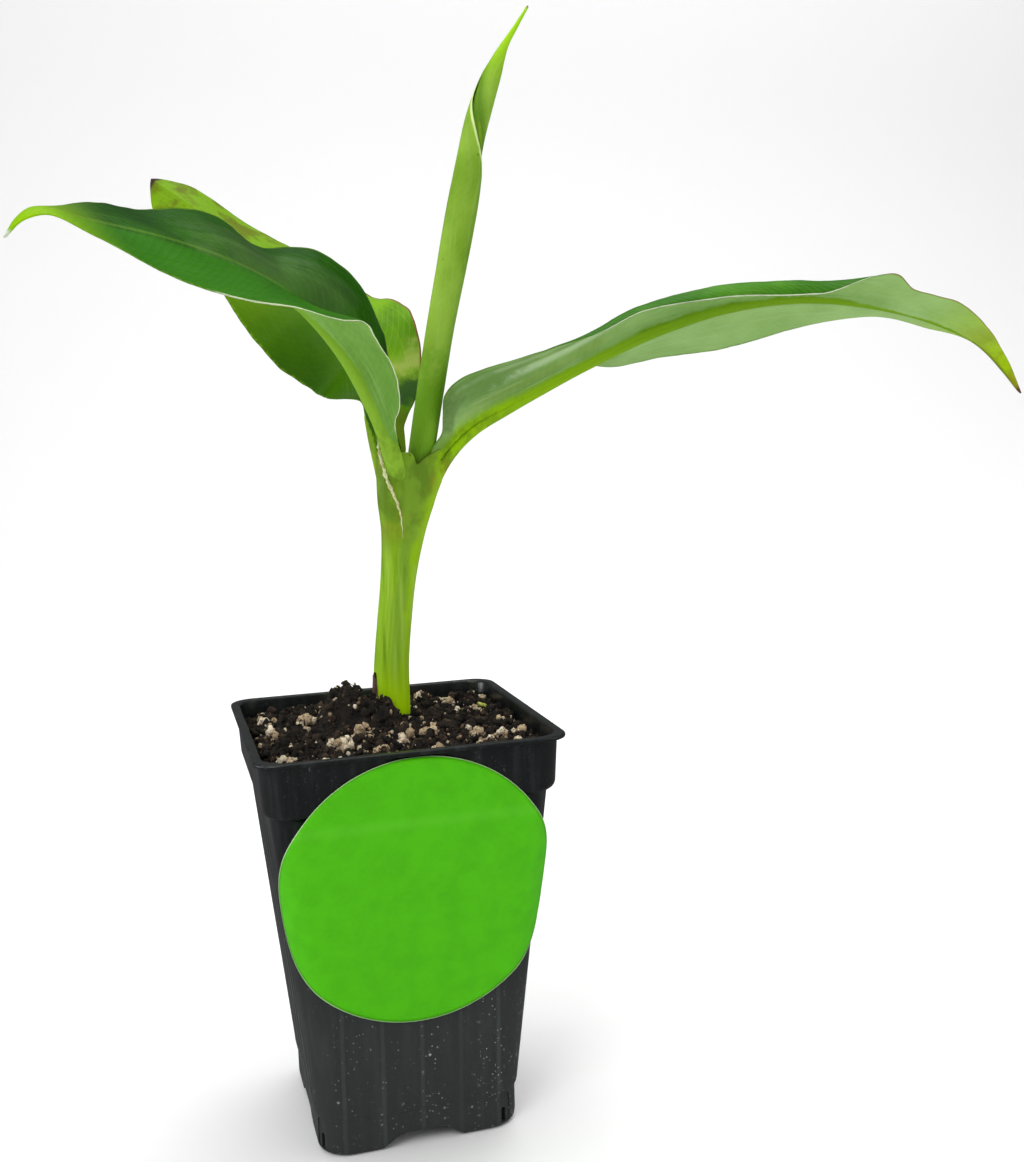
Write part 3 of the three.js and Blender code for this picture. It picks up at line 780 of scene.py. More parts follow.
def floor_pad():
    """The round pad that stands on the ground under the middle of the floor."""
    bm = bmesh.new()
    height = FLOOR_UNDERSIDE + 1
    bmesh.ops.create_cone(
        bm, cap_ends=True, segments=48, radius1=PAD_RADIUS, radius2=PAD_RADIUS, depth=height,
    )
    bmesh.ops.translate(bm, vec=(0, 0, height / 2), verts=bm.verts)
    return cutter_object("pad", bm)


def crease(mesh):
    """Shades a mesh smoothly but for its sharp edges."""
    bm = bmesh.new()
    bm.from_mesh(mesh)
    for edge in bm.edges:
        folded = len(edge.link_faces) == 2 and edge.calc_face_angle(0) > CREASE_ANGLE
        edge.smooth = not folded
    smoothed(bm)
    bm.to_mesh(mesh)
    bm.free()


def dust_mask(tree, where, columns, low):
    """A mask of dust specks and scratches, thicker near the ground."""
    grit = times(tree, specked(tree, 480.0, 0.14, 0.3), ranged(tree, columns, 0.45, 0.6))
    motes = times(tree, specked(tree, 1100.0, 0.2, 0.32), ranged(tree, columns, 0.35, 0.65))
    scratch = grain(tree, stretched(tree, where, (1100, 1100, 260)), 1.0, 2.0)
    scratch = times(tree, ranged(tree, scratch, 0.72, 0.77), ranged(tree, columns, 0.5, 0.6))
    dust = calc(tree, "MAXIMUM", calc(tree, "MAXIMUM", grit, motes), scratch)
    return times(tree, dust, plus(tree, times(tree, low, 0.65), 0.12))


def pot_plastic():
    """Charcoal moulded plastic: satin, dustier towards the ground, with specks and scratches."""
    settings = bpy.context.scene.plant_pot
    material, tree = new_material("charcoal_plastic")
    where = spots(tree)
    side, _, up = put(tree, "SeparateXYZ", {0: where}).outputs
    low = ranged(tree, up, 0.1, 0.03)
    streaks = grain(tree, stretched(tree, where, (260, 260, 9)), 1.0, 4.0)
    columns = grain(tree, stretched(tree, where, (120, 120, 4)), 1.0, 2.0)
    cloud = grain(tree, where, 45.0, 4.0)
    pale = srgb(50, 54, 53)
    base = dabbed(tree, tuple(settings.colour), low, 0.8, pale)
    base = dabbed(tree, base, ranged(tree, streaks, 0.45, 0.8), 0.35, srgb(64, 69, 69))
    base = dabbed(tree, base, ranged(tree, cloud, 0.55, 0.8), 0.25, pale)
    # The ridges lighter towards the ground: partly wear, partly a painted highlight on the flutes'
    # edges.
    base = dabbed(tree, base, flute_ridges(tree, side, columns), low, srgb(68, 74, 74))
    dust = dust_mask(tree, where, columns, low)
    base = mixed(tree, dust, base, srgb(196, 200, 196))
    film = times(tree, ranged(tree, cloud, 0.4, 0.75), 0.14)
    roughness = plus(tree, plus(tree, film, times(tree, dust, 0.3)), 0.3)
    height = times(tree, grain(tree, where, 1400.0, 2.0), 0.5)
    height = plus(tree, height, times(tree, streaks, 0.6))
    finish(tree, base, roughness, height, depth=0.00012, shine=0.7)
    return material


# ---------------------------------------------------------------- sticker

@functools.lru_cache(maxsize=None)
def laid_half(level):
    """How far out the sheet lies at a height in tenths of a millimetre: it bridges the step."""
    shifts = range(-8, 9, 2)
    total = 0.0
    for shift in shifts:
        z = level / 10 + shift
        total += max(wall_half(z + i) - STICKER_LEAN * abs(i) for i in range(-60, 61, 2))
    return total / len(shifts)


def laid_point(along, z, out):
    """A point on the sticker, along the front wall and round its corners."""
    half = laid_half(round(z * 10))
    flat = half - COLLAR_CORNER
    turn = max(0.0, abs(along) - flat) / COLLAR_CORNER
    reach = min(abs(along), flat) + (COLLAR_CORNER + out) * math.sin(turn)
    away = flat + (COLLAR_CORNER + out) * math.cos(turn)
    return Vector((math.copysign(reach, along), -away, z))


def sticker_paper():
    """Plain bright green coated paper, with a pale cut edge."""
    settings = bpy.context.scene.plant_sticker
    material, tree = new_material("green_paper")
    where = spots(tree)
    cloud = grain(tree, where, 160.0, 5.0, 0.65)
    base = mixed(tree, ranged(tree, cloud, 0.35, 0.7), tuple(settings.colour), srgb(70, 174, 0))
    height = put(tree, "SeparateXYZ", {0: where}).outputs[2]
    # A faint lighter band at the fold: a painted highlight where the sheet bends off the wall.
    top, foot = (ranged(tree, height, *ends) for ends in STICKER_FOLD_HIGHLIGHT)
    base = dabbed(tree, base, times(tree, top, foot), 0.1, srgb(120, 215, 70))
    base = dabbed(tree, base, specked(tree, 160.0, 0.02, 0.12), 0.7, srgb(30, 95, 12))
    base = mixed(tree, ranged(tree, mark(tree, "reach"), 0.992, 0.996), base, srgb(186, 226, 160))
    roughness = ranged(tree, cloud, 0.3, 0.7, 0.42, 0.56)
    finish(tree, base, roughness, grain(tree, where, 900.0, 3.0), depth=0.00004, shine=0.15)
    return material


def sticker_sheet():
    """The round sheet: its front face, its rounded edge and its back."""
    settings = bpy.context.scene.plant_sticker
    rings, spokes = 60, 128

    def place(a, b):
        front = a <= 0.5
        reach = min(1.0, (a if front else 1 - a) * 2)
        turn = 2 * math.pi * b
        along = STICKER_X + settings.radius * reach * math.cos(turn)
        z = STICKER_Z + settings.radius * reach * math.sin(turn)
        lift = STICKER_THICKNESS if front else 0.0
        round_off = 0.5 * STICKER_THICKNESS * max(0.0, reach * 40 - 39)
        lift += -round_off if front else round_off
        return laid_point(along, z, STICKER_BED + lift), (reach,)

    return wrapped_grid((rings, spokes), place, ("reach",))


# ---------------------------------------------------------------- potting mix

def soil_top(x, y):
    """Height of the potting mix: a low dome with heaps, rough with crumbs."""
    r = math.hypot(x, y - SOIL_CREST) / COLLAR_TOP
    dome = SOIL_DOME * max(0.0, 1 - r * r)
    heap = 0.0
    for clump_x, clump_y, radius, height in CLUMPS:
        d = math.hypot(x - clump_x, y - clump_y) / radius
        heap = max(heap, height * max(0.0, 1 - d * d) ** 0.7)
    spot = Vector((x, y, 0))
    coarse = noise.noise(spot * 0.16) * 1.6
    crumbs = noise.turbulence(spot * 0.42, 5, False) * 2.6 - 1.1
    return SOIL_EDGE + dome + heap + coarse + crumbs


def soil_block():
    """The mix's rough top, and plain sides down inside the pot."""
    cells = 200
    inner = COLLAR_TOP - POT_WALL - 0.15
    corner = COLLAR_CORNER - POT_WALL
    half = wall_half(SOIL_EDGE) - POT_WALL - 0.1

    def place(a, b):
        x, y = (a * 2 - 1) * inner, (b * 2 - 1) * inner
        over_x, over_y = abs(x) - (inner - corner), abs(y) - (inner - corner)
        if over_x > 0 and over_y > 0:
            reach = math.hypot(over_x, over_y)
            square = max(over_x, over_y)
            x = math.copysign(inner - corner + over_x * square / reach, x)
            y = math.copysign(inner - corner + over_y * square / reach, y)
        return Vector((x * half / inner, y * half / inner, soil_top(x, y))), ()

    bm = wrapped_grid((cells, cells), place)
    made = bmesh.ops.extrude_edge_only(bm, edges=open_edges(bm))
    for vert in made["geom"]:
        if isinstance(vert, bmesh.types.BMVert):
            vert.co = (vert.co.x * SOIL_FOOT_SHARE, vert.co.y * SOIL_FOOT_SHARE, SOIL_FOOT)
    return bm


def grain_shapes(count, rough, seed, around):
    """A few lumpy grains of about unit radius, as (corners, faces)."""
    shapes = []
    for k in range(count):
        bm = bmesh.new()
        bmesh.ops.create_uvsphere(bm, u_segments=around, v_segments=around - 2, radius=1.0)
        away = Vector((seed + 7.3 * k, 3.1 * k, 1.7))
        for vert in bm.verts:
            lump = noise.noise(vert.co * 1.1 + away) + 0.5 * noise.noise(vert.co * 2.7 + away)
            vert.co *= 1 + rough * lump
        shapes.append((
            [vert.co.copy() for vert in bm.verts],
            [[vert.index for vert in face.verts] for face in bm.faces],
        ))
        bm.free()
    return shapes


def scattered(name, shapes, grains, material, squash=(1.0, 0.85, 0.7)):
    """Joins grains (shape number, place, size, turn, tint) into one piece."""
    corners, faces, tints = [], [], []
    for number, place, size, turn, tint in grains:
        shape, shape_faces = shapes[number]
        start = len(corners)
        spin = turn.to_matrix()
        for corner in shape:
            corners.append(place + spin @ Vector(c * s * size for c, s in zip(corner, squash)))
        faces += [[start + i for i in face] for face in shape_faces]
        tints += [tint] * len(shape)
    mesh = bpy.data.meshes.new(name)
    mesh.from_pydata([c * MM for c in corners], [], faces)
    mesh.attributes.new("tint", "FLOAT", "POINT").data.foreach_set("value", tints)
    mesh.polygons.foreach_set("use_smooth", [True] * len(faces))
    return as_piece(name, mesh, material)


def fits_mix(x, y, size):
    """Whether a grain of a size has room at a place: inside the pot and clear of the stem."""
    reach = wall_half(SOIL_EDGE) - POT_WALL - 0.5 - size
    if abs(x) > reach or abs(y) > reach:
        return False
    over_x, over_y = (max(0, abs(at) - reach + GRAIN_CORNER) for at in (x, y))
    if math.hypot(over_x, over_y) > GRAIN_CORNER:
        return False
    return math.hypot(x - STEM[0][1], y - STEM[0][2]) > STEM_CLEARANCE + size


def strewn(count, low, high, seed, sink, shapes, skew=2.0, tilt=6.3):
    """Places for grains all over the mix."""
    draw = random.Random(seed)
    half = wall_half(SOIL_EDGE) - POT_WALL
    grains = []
    while len(grains) < count:
        x, y = draw.uniform(-half, half), draw.uniform(-half, half)
        size = low + (high - low) * draw.random() ** skew
        turn = Euler([draw.uniform(0, tilt), draw.uniform(0, tilt), draw.uniform(0, 6.3)])
        tint, number = draw.random(), draw.randrange(len(shapes))
        if fits_mix(x, y, min(size, 2.5)):
            place = Vector((x, y, soil_top(x, y) + min(size, 2.5) * sink))
            grains.append((number, place, size, turn, tint))
    return grains


def clustered(low, high, seed, shapes):
    """Grains heaped together in the clusters."""
    draw = random.Random(seed)
    grains = []
    for centre_x, centre_y, radius, count in CLUSTERS:
        for _ in range(count):
            x, y = draw.gauss(centre_x, radius * 0.45), draw.gauss(centre_y, radius * 0.45)
            size = low + (high - low) * draw.random() ** 1.6
            turn = Euler([draw.uniform(0, 6.3) for _ in range(3)])
            tint, number = 0.25 + 0.75 * draw.random(), draw.randrange(len(shapes))
            if fits_mix(x, y, size):
                place = Vector((x, y, soil_top(x, y) + draw.uniform(0.0, 1.0)))
                grains.append((number, place, size, turn, tint))
    return grains


def mix_material(name, dark, pale, rough, bump_scale, depth):
    """Damp fibrous mix, between a dark and a pale colour."""
    material, tree = new_material(name)
    where = spots(tree)
    cloud = grain(tree, where, 260.0, 5.0, 0.65)
    base = mixed(tree, ranged(tree, cloud, 0.35, 0.68), dark, pale)
    fibre = ranged(tree, grain(tree, stretched(tree, where, (900, 300, 900)), 1.0, 3.0), 0.62, 0.72)
    base = dabbed(tree, base, fibre, 0.35, srgb(112, 84, 58))
    height = plus(tree, grain(tree, where, bump_scale, 5.0, 0.7), cloud)
    finish(tree, base, rough, height, depth=depth)
    return material


def tinted_material(name, shades, rough, bump_scale, depth):
    """A material whose grains differ, each by its own tint, from dark to pale."""
    dark, middle, pale = shades
    material, tree = new_material(name)
    where = spots(tree)
    tint = mark(tree, "tint")
    base = mixed(tree, ranged(tree, tint, 0.0, 0.5), dark, middle)
    base = mixed(tree, ranged(tree, tint, 0.5, 1.0), base, pale)
    pits = ranged(tree, grain(tree, where, 1300.0, 3.0), 0.34, 0.46)
    stain = ranged(tree, grain(tree, where, 420.0, 3.0), 0.5, 0.66)
    base = dabbed(tree, base, stain, 0.45, dark)
    base = mixed(tree, pits, mixed(tree, 0.5, base, dark), base)
    height = plus(tree, pits, grain(tree, where, bump_scale, 4.0, 0.7))
    finish(tree, base, rough, height, depth=depth)
    return material


# ---------------------------------------------------------------- leaves

NO_WAVES = [(0, 0), (1, 0)]

# The marks on a leaf's corners: 1 on its underside; the share of the half's width from the
# midrib, negative on the right half; the distance from the midrib; and how far along the
# leaf they are, in millimetres and as a share of its length.
LEAF_MARKS = ("under", "across", "from_rib", "run", "along")


def rib_radius(leaf, t):
    """Radius of the stalk and midrib: slimmer where it starts, inside the stem, and to its tip."""
    base, tip = leaf["rib"]
    start = min(1.0, t / 0.06)
    start = 0.72 + 0.28 * start * start * (3 - 2 * start)
    return (tip + (base - tip) * (1 - t) ** 1.5) * start * min(1.0, ((1 - t) * 22) ** 0.6)


def blade_share(leaf, t):
    """The blade's width at t, as a share of its widest."""
    def shape(u):
        return u ** leaf["rise"] * (1 - u ** leaf["taper"]) ** leaf["point"]

    if "widest" not in leaf:
        leaf["widest"] = max(shape(0.05 + 0.01 * k) for k in range(95))
    u = min(max((t - leaf["petiole"]) / (1 - leaf["petiole"]), 0.0), 1.0)
    return shape(u) / leaf["widest"]


def half_width(leaf, hand, t, rib):
    """Width of one half of a leaf: by its base's own stations, then by the blade's shape."""
    shaped = rib * 1.15 + leaf[hand + "_width"] * blade_share(leaf, t)
    base = leaf[hand + "_base"]
    end = base[-1][0]
    if t >= end + 0.1:
        return shaped
    ease = min(max((t - end) / 0.1, 0.0), 1.0)
    ease = ease * ease * (3 - 2 * ease)
    return keyed(base, t) * (1 - ease) + shaped * ease


def leaf_station(leaf, line, t):
    """Everything that the leaf's section at t needs."""
    point, side, up = line.at(t)
    rib = rib_radius(leaf, t)
    halves = []
    for hand, sign in (("left", 1), ("right", -1)):
        width = half_width(leaf, hand, t, rib)
        width += keyed(leaf.get(hand + "_waves", NO_WAVES), t)
        width += 0.3 * noise.noise(Vector((t * 45, sign, 0))) * min(1.0, width / 8)
        lift = math.radians(keyed(leaf[hand + "_lift"], t))
        curl = math.radians(keyed(leaf[hand + "_curl"], t))
        halves.append((sign, width, lift, curl))
    return {"point": point, "side": side, "up": up, "rib": rib, "halves": halves, "t": t}


def section_point(station, v, offset):
    """The point at v, from -1 (right margin) to 1 (left margin), and its distance from the rib."""
    sign, width, lift, curl = station["halves"][0 if v >= 0 else 1]
    share = abs(v)
    end = lift + curl * share
    if abs(curl) < 0.01:
        out, rise = width * share * math.cos(lift), width * share * math.sin(lift)
    else:
        out = width / curl * (math.sin(end) - math.sin(lift))
        rise = width / curl * (math.cos(lift) - math.cos(end))
    out -= math.sin(end) * offset
    rise += math.cos(end) * offset
    return station["point"] + station["side"] * sign * out + station["up"] * rise, width * share


def blade_bmesh(leaf, line):
    """The blade as one thin closed sheet, pleated along its side veins."""
    settings = bpy.context.scene.plant_leaves
    cells = (int(line.length * 1.9), 96)
    stations = [leaf_station(leaf, line, k / cells[0]) for k in range(cells[0] + 1)]

    def place(a, b):
        station = stations[round(a * cells[0])]
        upper = b <= 0.5
        v = 1 - 4 * b if upper else 4 * b - 3
        v = math.copysign(abs(v) ** 1.15, v)
        thin = settings.thickness / 2 * math.sqrt(max(0.0, 1 - abs(v) ** 14))
        along = station["t"] * line.length
        spot, from_rib = section_point(station, v, 0.0)
        run = along - 0.5 * from_rib - 0.02 * from_rib ** 2
        pleat = settings.pleat * math.sin(2 * math.pi * run / settings.vein_spacing)
        pleat *= min(1.0, from_rib / 4) * (1 - abs(v) ** 6)
        wave = 0.8 * noise.noise(spot * 0.055) * min(1.0, from_rib / 10)
        ends = min(1.0, (1 - station["t"]) * 25)
        offset = (pleat + wave) * ends
        swell = math.exp(-((from_rib / (1.5 * station["rib"] + 0.01)) ** 2)) * station["rib"]
        swell *= (1 - abs(v) ** 6) * min(1.0, station["t"] * 30)
        offset += thin if upper else -thin - 0.98 * swell
        spot, from_rib = section_point(station, v, offset)
        under = 0.0 if upper else 1.0
        return spot, (under, v, from_rib, along, station["t"])

    return wrapped_grid(cells, place, LEAF_MARKS)


def rib_bmesh(leaf, line):
    """The stalk and midrib, a tapering keel that stands out under the blade."""
    cells = (int(line.length * 1.2), 24)

    def place(t, b):
        point, side, up = line.at(t)
        rib = rib_radius(leaf, t) * (1.0 if t > 0 else 0.0)
        turn = 2 * math.pi * b
        across, rise = math.sin(turn), math.cos(turn)
        keel = 0.8 if rise < 0 else 0.3
        hand = "left" if across > 0 else "right"
        lift = math.sin(math.radians(keyed(leaf[hand + "_lift"], t)))
        reach = 1.1 * min(1.0, max(0.3, 1 + 1.4 * lift)) * (1 - 0.25 * max(0.0, lift) ** 3)
        spot = point + side * across * rib * reach
        spot += up * (rise * rib * keel - 0.28 * rib)
        return spot, (1.0, 0.0, 0.0, t * line.length, t)

    return wrapped_grid(cells, place, LEAF_MARKS)


def between(tree, value, low, high, soft):
    """1 where the value is between low and high, fading over soft at both ends."""
    rise = ranged(tree, value, low - soft, low + soft)
    fall = ranged(tree, value, high + soft, high - soft)
    return times(tree, rise, fall)


def patched(tree, base, patch, at):
    """The base with one local patch: (along, across, share, colour, softness)."""
    (low, high), (inner, outer), share, colour, soft = patch
    along = plus(tree, at["along"], times(tree, at["ragged"], soft))
    mask = between(tree, along, low, high, soft)
    mask = times(tree, mask, between(tree, at["across"], inner, outer, 0.06))
    return dabbed(tree, base, mask, share, colour)


@built_once
def sheath_marks(name):
    """Streaks and blotches that run on from the stem into the leaves' stalks."""
    group, _, leave = new_group(name, {}, ["Streak", "Blotch", "Cloud"])
    where = spots(group)
    streak = grain(group, stretched(group, where, (520, 520, 16)), 1.0, 5.0)
    blotch = grain(group, stretched(group, where, (170, 170, 110)), 1.0, 5.0, 0.6)
    group.links.new(streak, leave.inputs["Streak"])
    group.links.new(blotch, leave.inputs["Blotch"])
    group.links.new(grain(group, where, 90.0, 5.0, 0.6), leave.inputs["Cloud"])
    return group


def fleshy(tree, base, shade):
    """Mottles a base colour where shade is 1, as the fork of the stem is."""
    marks = use_group(tree, sheath_marks(), {}).outputs
    patchy = times(tree, shade, ranged(tree, marks["Blotch"], 0.42, 0.62))
    base = dabbed(tree, base, patchy, 0.65, srgb(84, 116, 22))
    tan = times(tree, shade, ranged(tree, marks["Cloud"], 0.44, 0.3))
    return dabbed(tree, base, tan, 0.4, srgb(146, 142, 30))


def leaf_marks(tree):
    """The marks and the noises that the layers of a leaf's finish share."""
    at = {title: mark(tree, title) for title in LEAF_MARKS}
    at["where"] = where = spots(tree)
    at["cloud"] = ranged(tree, grain(tree, where, 34.0, 4.0), 0.36, 0.66)
    at["fine"] = grain(tree, where, 320.0, 4.0, 0.6)
    at["ragged"] = ranged(tree, grain(tree, where, 110.0, 5.0, 0.65), 0.3, 0.7, -1.0, 1.0)
    # Pale lanes along the leaf, painted in the vein colour as reflections on its ripples; the same
    # noise gives the ripples' bump.
    lanes = put(tree, "CombineXYZ", {
        0: times(tree, at["run"], 0.035), 1: times(tree, at["from_rib"], 0.55),
    }).outputs[0]
    at["streak"] = ranged(tree, grain(tree, lanes, 1.0, 4.0, 0.6), 0.48, 0.7)
    at["veins"] = use_group(tree, side_veins(), {
        "Along": at["run"], "From rib": at["from_rib"],
        "Spacing": bpy.context.scene.plant_leaves.vein_spacing,
    }).outputs
    return at


def leaf_faces(tree, at, tones):
    """The upper face and the underside, with their veins and patches, and the fresh tip."""
    faces = []
    for face, streaks, veins in (("upper", 0.2, 0.2), ("under", 0.4, 0.12)):
        vein = tones[face + "_vein"]
        base = mixed(tree, at["cloud"], tones[face], tones[face + "_light"])
        # Painted reflections: the pale lanes along the leaf.
        base = dabbed(tree, base, at["streak"], streaks, vein)
        base = dabbed(tree, base, at["veins"]["Line"], veins, vein)
        for patch in tones[face + "_patches"]:
            base = patched(tree, base, patch, at)
        faces.append(base)
    base = mixed(tree, at["under"], *faces)
    return mixed(tree, ranged(tree, at["along"], *tones["fresh"]), base, tones["tip"])


def keel_over(tree, base, at, tones):
    """The keel below, and a hint of the midrib above."""
    under, from_rib, along = at["under"], at["from_rib"], at["along"]
    colour = mixed(tree, ranged(tree, along, 0.05, 0.5), tones["stalk"], tones["keel"])
    colour = fleshy(tree, colour, ranged(tree, along, 0.3, 0.05))
    reach = calc(tree, "POWER", calc(tree, "SUBTRACT", 1.0, along), 1.6)
    reach = plus(tree, times(tree, reach, tones["keel_reach"]), 0.5)
    side = calc(tree, "DIVIDE", plus(tree, from_rib, times(tree, at["ragged"], 0.4)), reach)
    below = times(tree, ranged(tree, side, 1.0, 0.35), under)
    above = times(tree, ranged(tree, from_rib, 1.2, 0.2), 0.22)
    above = times(tree, above, calc(tree, "SUBTRACT", 1.0, under))
    return mixed(tree, calc(tree, "MAXIMUM", below, above), base, colour)


def margins_over(tree, base, at, tones):
    """The thin rim of the blade, and the stretches of it that have their own colour."""
    rim = plus(tree, calc(tree, "ABSOLUTE", at["across"]), times(tree, at["fine"], 0.02))
    rim = ranged(tree, rim, tones["edge"], tones["edge"] + 0.012)
    base = dabbed(tree, base, rim, 0.3, tones["tip"])
    for low, high, hand, colour in tones["margins"]:
        half = ranged(tree, times(tree, at["across"], hand), 0.2, 0.3)
        strip = times(tree, between(tree, at["along"], low, high, 0.015), half)
        base = dabbed(tree, base, rim, strip, colour)
    return base


def blemishes_over(tree, base, at, tones):
    """Dots, smudges near the stalk, brown stains and the dry end of the tip."""
    where, along = at["where"], at["along"]
    base = dabbed(tree, base, specked(tree, 260.0, 0.05, 0.16), 0.6, srgb(40, 58, 16))
    smudge = ranged(tree, grain(tree, where, 75.0, 5.0, 0.7), 0.6, 0.74)
    smudge = times(tree, smudge, ranged(tree, along, tones["smudge"], 0.0))
    base = dabbed(tree, base, smudge, 0.5, srgb(52, 66, 26))
    stain = ranged(tree, grain(tree, where, 110.0, 5.0, 0.6), 0.44, 0.6)
    stain = times(tree, ranged(tree, along, *tones["brown"]), stain)
    base = dabbed(tree, base, stain, 0.7, tones["stain"])
    dry = ranged(tree, along, tones["burnt"], tones["burnt"] + 0.008)
    return mixed(tree, dry, base, tones["end"])


def leaf_skin(name, tones):
    """Leaf tissue. tones hold the colours of the two faces, the keel, tip and local patches."""
    material, tree = new_material(name + "_skin")
    at = leaf_marks(tree)
    base = leaf_faces(tree, at, tones)
    for layer in (keel_over, margins_over, blemishes_over):
        base = layer(tree, base, at, tones)
    roughness = ranged(tree, at["under"], 0.0, 1.0, tones["gloss"], 0.55)
    roughness = plus(tree, roughness, ranged(tree, at["fine"], 0.3, 0.7, -0.05, 0.07))
    height = plus(tree, times(tree, at["veins"]["Height"], 0.2), times(tree, at["streak"], 1.2))
    height = plus(tree, height, times(tree, at["fine"], 0.5))
    finish(tree, base, roughness, height, depth=0.00012, shine=tones["shine"])
    return material


# Patches are (along, across, share, colour, softness); margins are (from, to, half, colour),
# where half is 1 for the left one and -1 for the right one.
LEAF_TONES = {
    "front_left_leaf": {
        "upper": srgb(16, 60, 0), "upper_light": srgb(40, 96, 0),
        "upper_vein": srgb(84, 132, 44),
        "under": srgb(100, 148, 54), "under_light": srgb(126, 172, 80),
        "under_vein": srgb(150, 192, 110), "keel": srgb(116, 162, 40), "stalk": srgb(140, 184, 54),
        "tip": srgb(136, 184, 6), "fresh": (0.8, 0.97),
        "brown": (1.2, 1.3), "stain": srgb(120, 110, 20), "burnt": 0.985,
        "end": srgb(206, 214, 190), "gloss": 0.36, "shine": 0.05, "edge": 0.972,
        "keel_reach": 5.6, "smudge": 0.24,
        "upper_patches": [
            ((0.5, 0.95), (0.1, 1.2), 0.5, srgb(46, 118, 0), 0.06),
            ((0.36, 0.5), (0.45, 1.2), 0.4, srgb(58, 124, 4), 0.05),
            # Painted sheen: a pale grey band of highlight along the middle of the leaf, over the
            # right half by the midrib.
            ((0.34, 0.66), (-0.7, 0.1), 0.25, srgb(100, 122, 78), 0.05),
            ((0.45, 0.9), (-1.2, -0.45), 0.4, srgb(14, 60, 2), 0.06),
            ((0.2, 0.42), (-1.2, -0.5), 0.45, srgb(14, 62, 8), 0.04),
        ],
        "under_patches": [((0.08, 0.13), (-1.2, 1.2), 0.4, srgb(120, 110, 40), 0.02)],
        "margins": [(0.16, 0.7, 1, srgb(226, 238, 196))],
    },
    "back_left_leaf": {
        "upper": srgb(72, 122, 2), "upper_light": srgb(112, 162, 10),
        "upper_vein": srgb(150, 190, 40),
        "under": srgb(96, 140, 24), "under_light": srgb(124, 166, 40),
        "under_vein": srgb(142, 180, 60), "keel": srgb(124, 162, 20), "stalk": srgb(146, 182, 40),
        "tip": srgb(112, 156, 4), "fresh": (0.45, 0.8),
        "brown": (0.55, 0.75), "stain": srgb(92, 92, 6), "burnt": 0.985,
        "end": srgb(58, 44, 34), "gloss": 0.46, "shine": 0.1, "edge": 0.98,
        "keel_reach": 2.6, "smudge": 0.0,
        "upper_patches": [
            # Painted shadow: the left half, which lies under the front left leaf, much darker.
            ((0.1, 0.66), (0.02, 1.2), 0.8, srgb(36, 82, 0), 0.06),
            ((0.2, 0.27), (0.1, 1.2), 0.5, srgb(58, 92, 6), 0.02),
            ((0.285, 0.33), (-1.2, -0.5), 0.6, srgb(182, 188, 104), 0.02),
            # Painted shade on the right half near its base, below its lobe.
            ((0.225, 0.275), (-1.2, -0.3), 0.85, srgb(50, 82, 44), 0.012),
            ((0.1, 0.2), (-1.2, -0.2), 0.5, srgb(110, 116, 26), 0.02),
        ],
        "under_patches": [],
        "margins": [(0.28, 0.6, -1, srgb(142, 104, 58))],
    },
    "right_leaf": {
        "upper": srgb(44, 102, 12), "upper_light": srgb(74, 134, 26),
        "upper_vein": srgb(124, 172, 76),
        "under": srgb(116, 156, 76), "under_light": srgb(148, 184, 110),
        "under_vein": srgb(160, 196, 134), "keel": srgb(108, 150, 16), "stalk": srgb(142, 188, 2),
        "tip": srgb(152, 188, 0), "fresh": (0.78, 0.96),
        "brown": (0.82, 1.0), "stain": srgb(122, 100, 30), "burnt": 0.985,
        "end": srgb(96, 66, 34), "gloss": 0.4, "shine": 0.08, "edge": 0.984,
        "keel_reach": 4.9, "smudge": 0.2,
        "upper_patches": [],
        "under_patches": [
            ((0.13, 0.26), (-0.9, -0.35), 0.3, srgb(72, 104, 54), 0.04),
            ((0.105, 0.14), (-1.2, -0.45), 0.5, srgb(64, 92, 44), 0.015),
            # Painted reflections: pale streaks along the base of the right half's underside.
            ((0.2, 0.36), (-0.55, -0.38), 0.55, srgb(196, 220, 176), 0.03),
            ((0.17, 0.33), (-0.8, -0.68), 0.3, srgb(186, 212, 166), 0.03),
            ((0.36, 0.8), (-1.2, 1.2), 0.35, srgb(152, 190, 112), 0.05),
            ((0.1, 0.36), (-0.3, -0.2), 0.15, srgb(150, 158, 40), 0.03),
        ],
        "margins": [
            (0.33, 0.7, -1, srgb(232, 240, 210)), (0.72, 1.0, -1, srgb(150, 112, 62)),
            (0.72, 1.0, 1, srgb(160, 128, 66)),
        ],
    },
    "rolled_leaf": {
        "upper": srgb(84, 146, 8), "upper_light": srgb(112, 174, 20),
        "upper_vein": srgb(140, 194, 50),
        "under": srgb(110, 152, 30), "under_light": srgb(144, 184, 62),
        "under_vein": srgb(156, 190, 90), "keel": srgb(110, 150, 24), "stalk": srgb(108, 148, 8),
        "tip": srgb(160, 212, 30), "fresh": (0.8, 0.94),
        "brown": (1.2, 1.3), "stain": srgb(120, 110, 20), "burnt": 0.99,
        "end": srgb(120, 110, 70), "gloss": 0.42, "shine": 0.1, "edge": 0.985,
        "keel_reach": 0.7, "smudge": 0.1,
        "upper_patches": [],
        "under_patches": [
            ((0.62, 0.9), (0.1, 0.52), 0.75, srgb(66, 112, 8), 0.03),
            ((0.0, 0.28), (-0.2, 1.2), 0.55, srgb(84, 140, 4), 0.06),
        ],
        "margins": [(0.0, 0.9, 1, srgb(208, 232, 150))],
    },
}


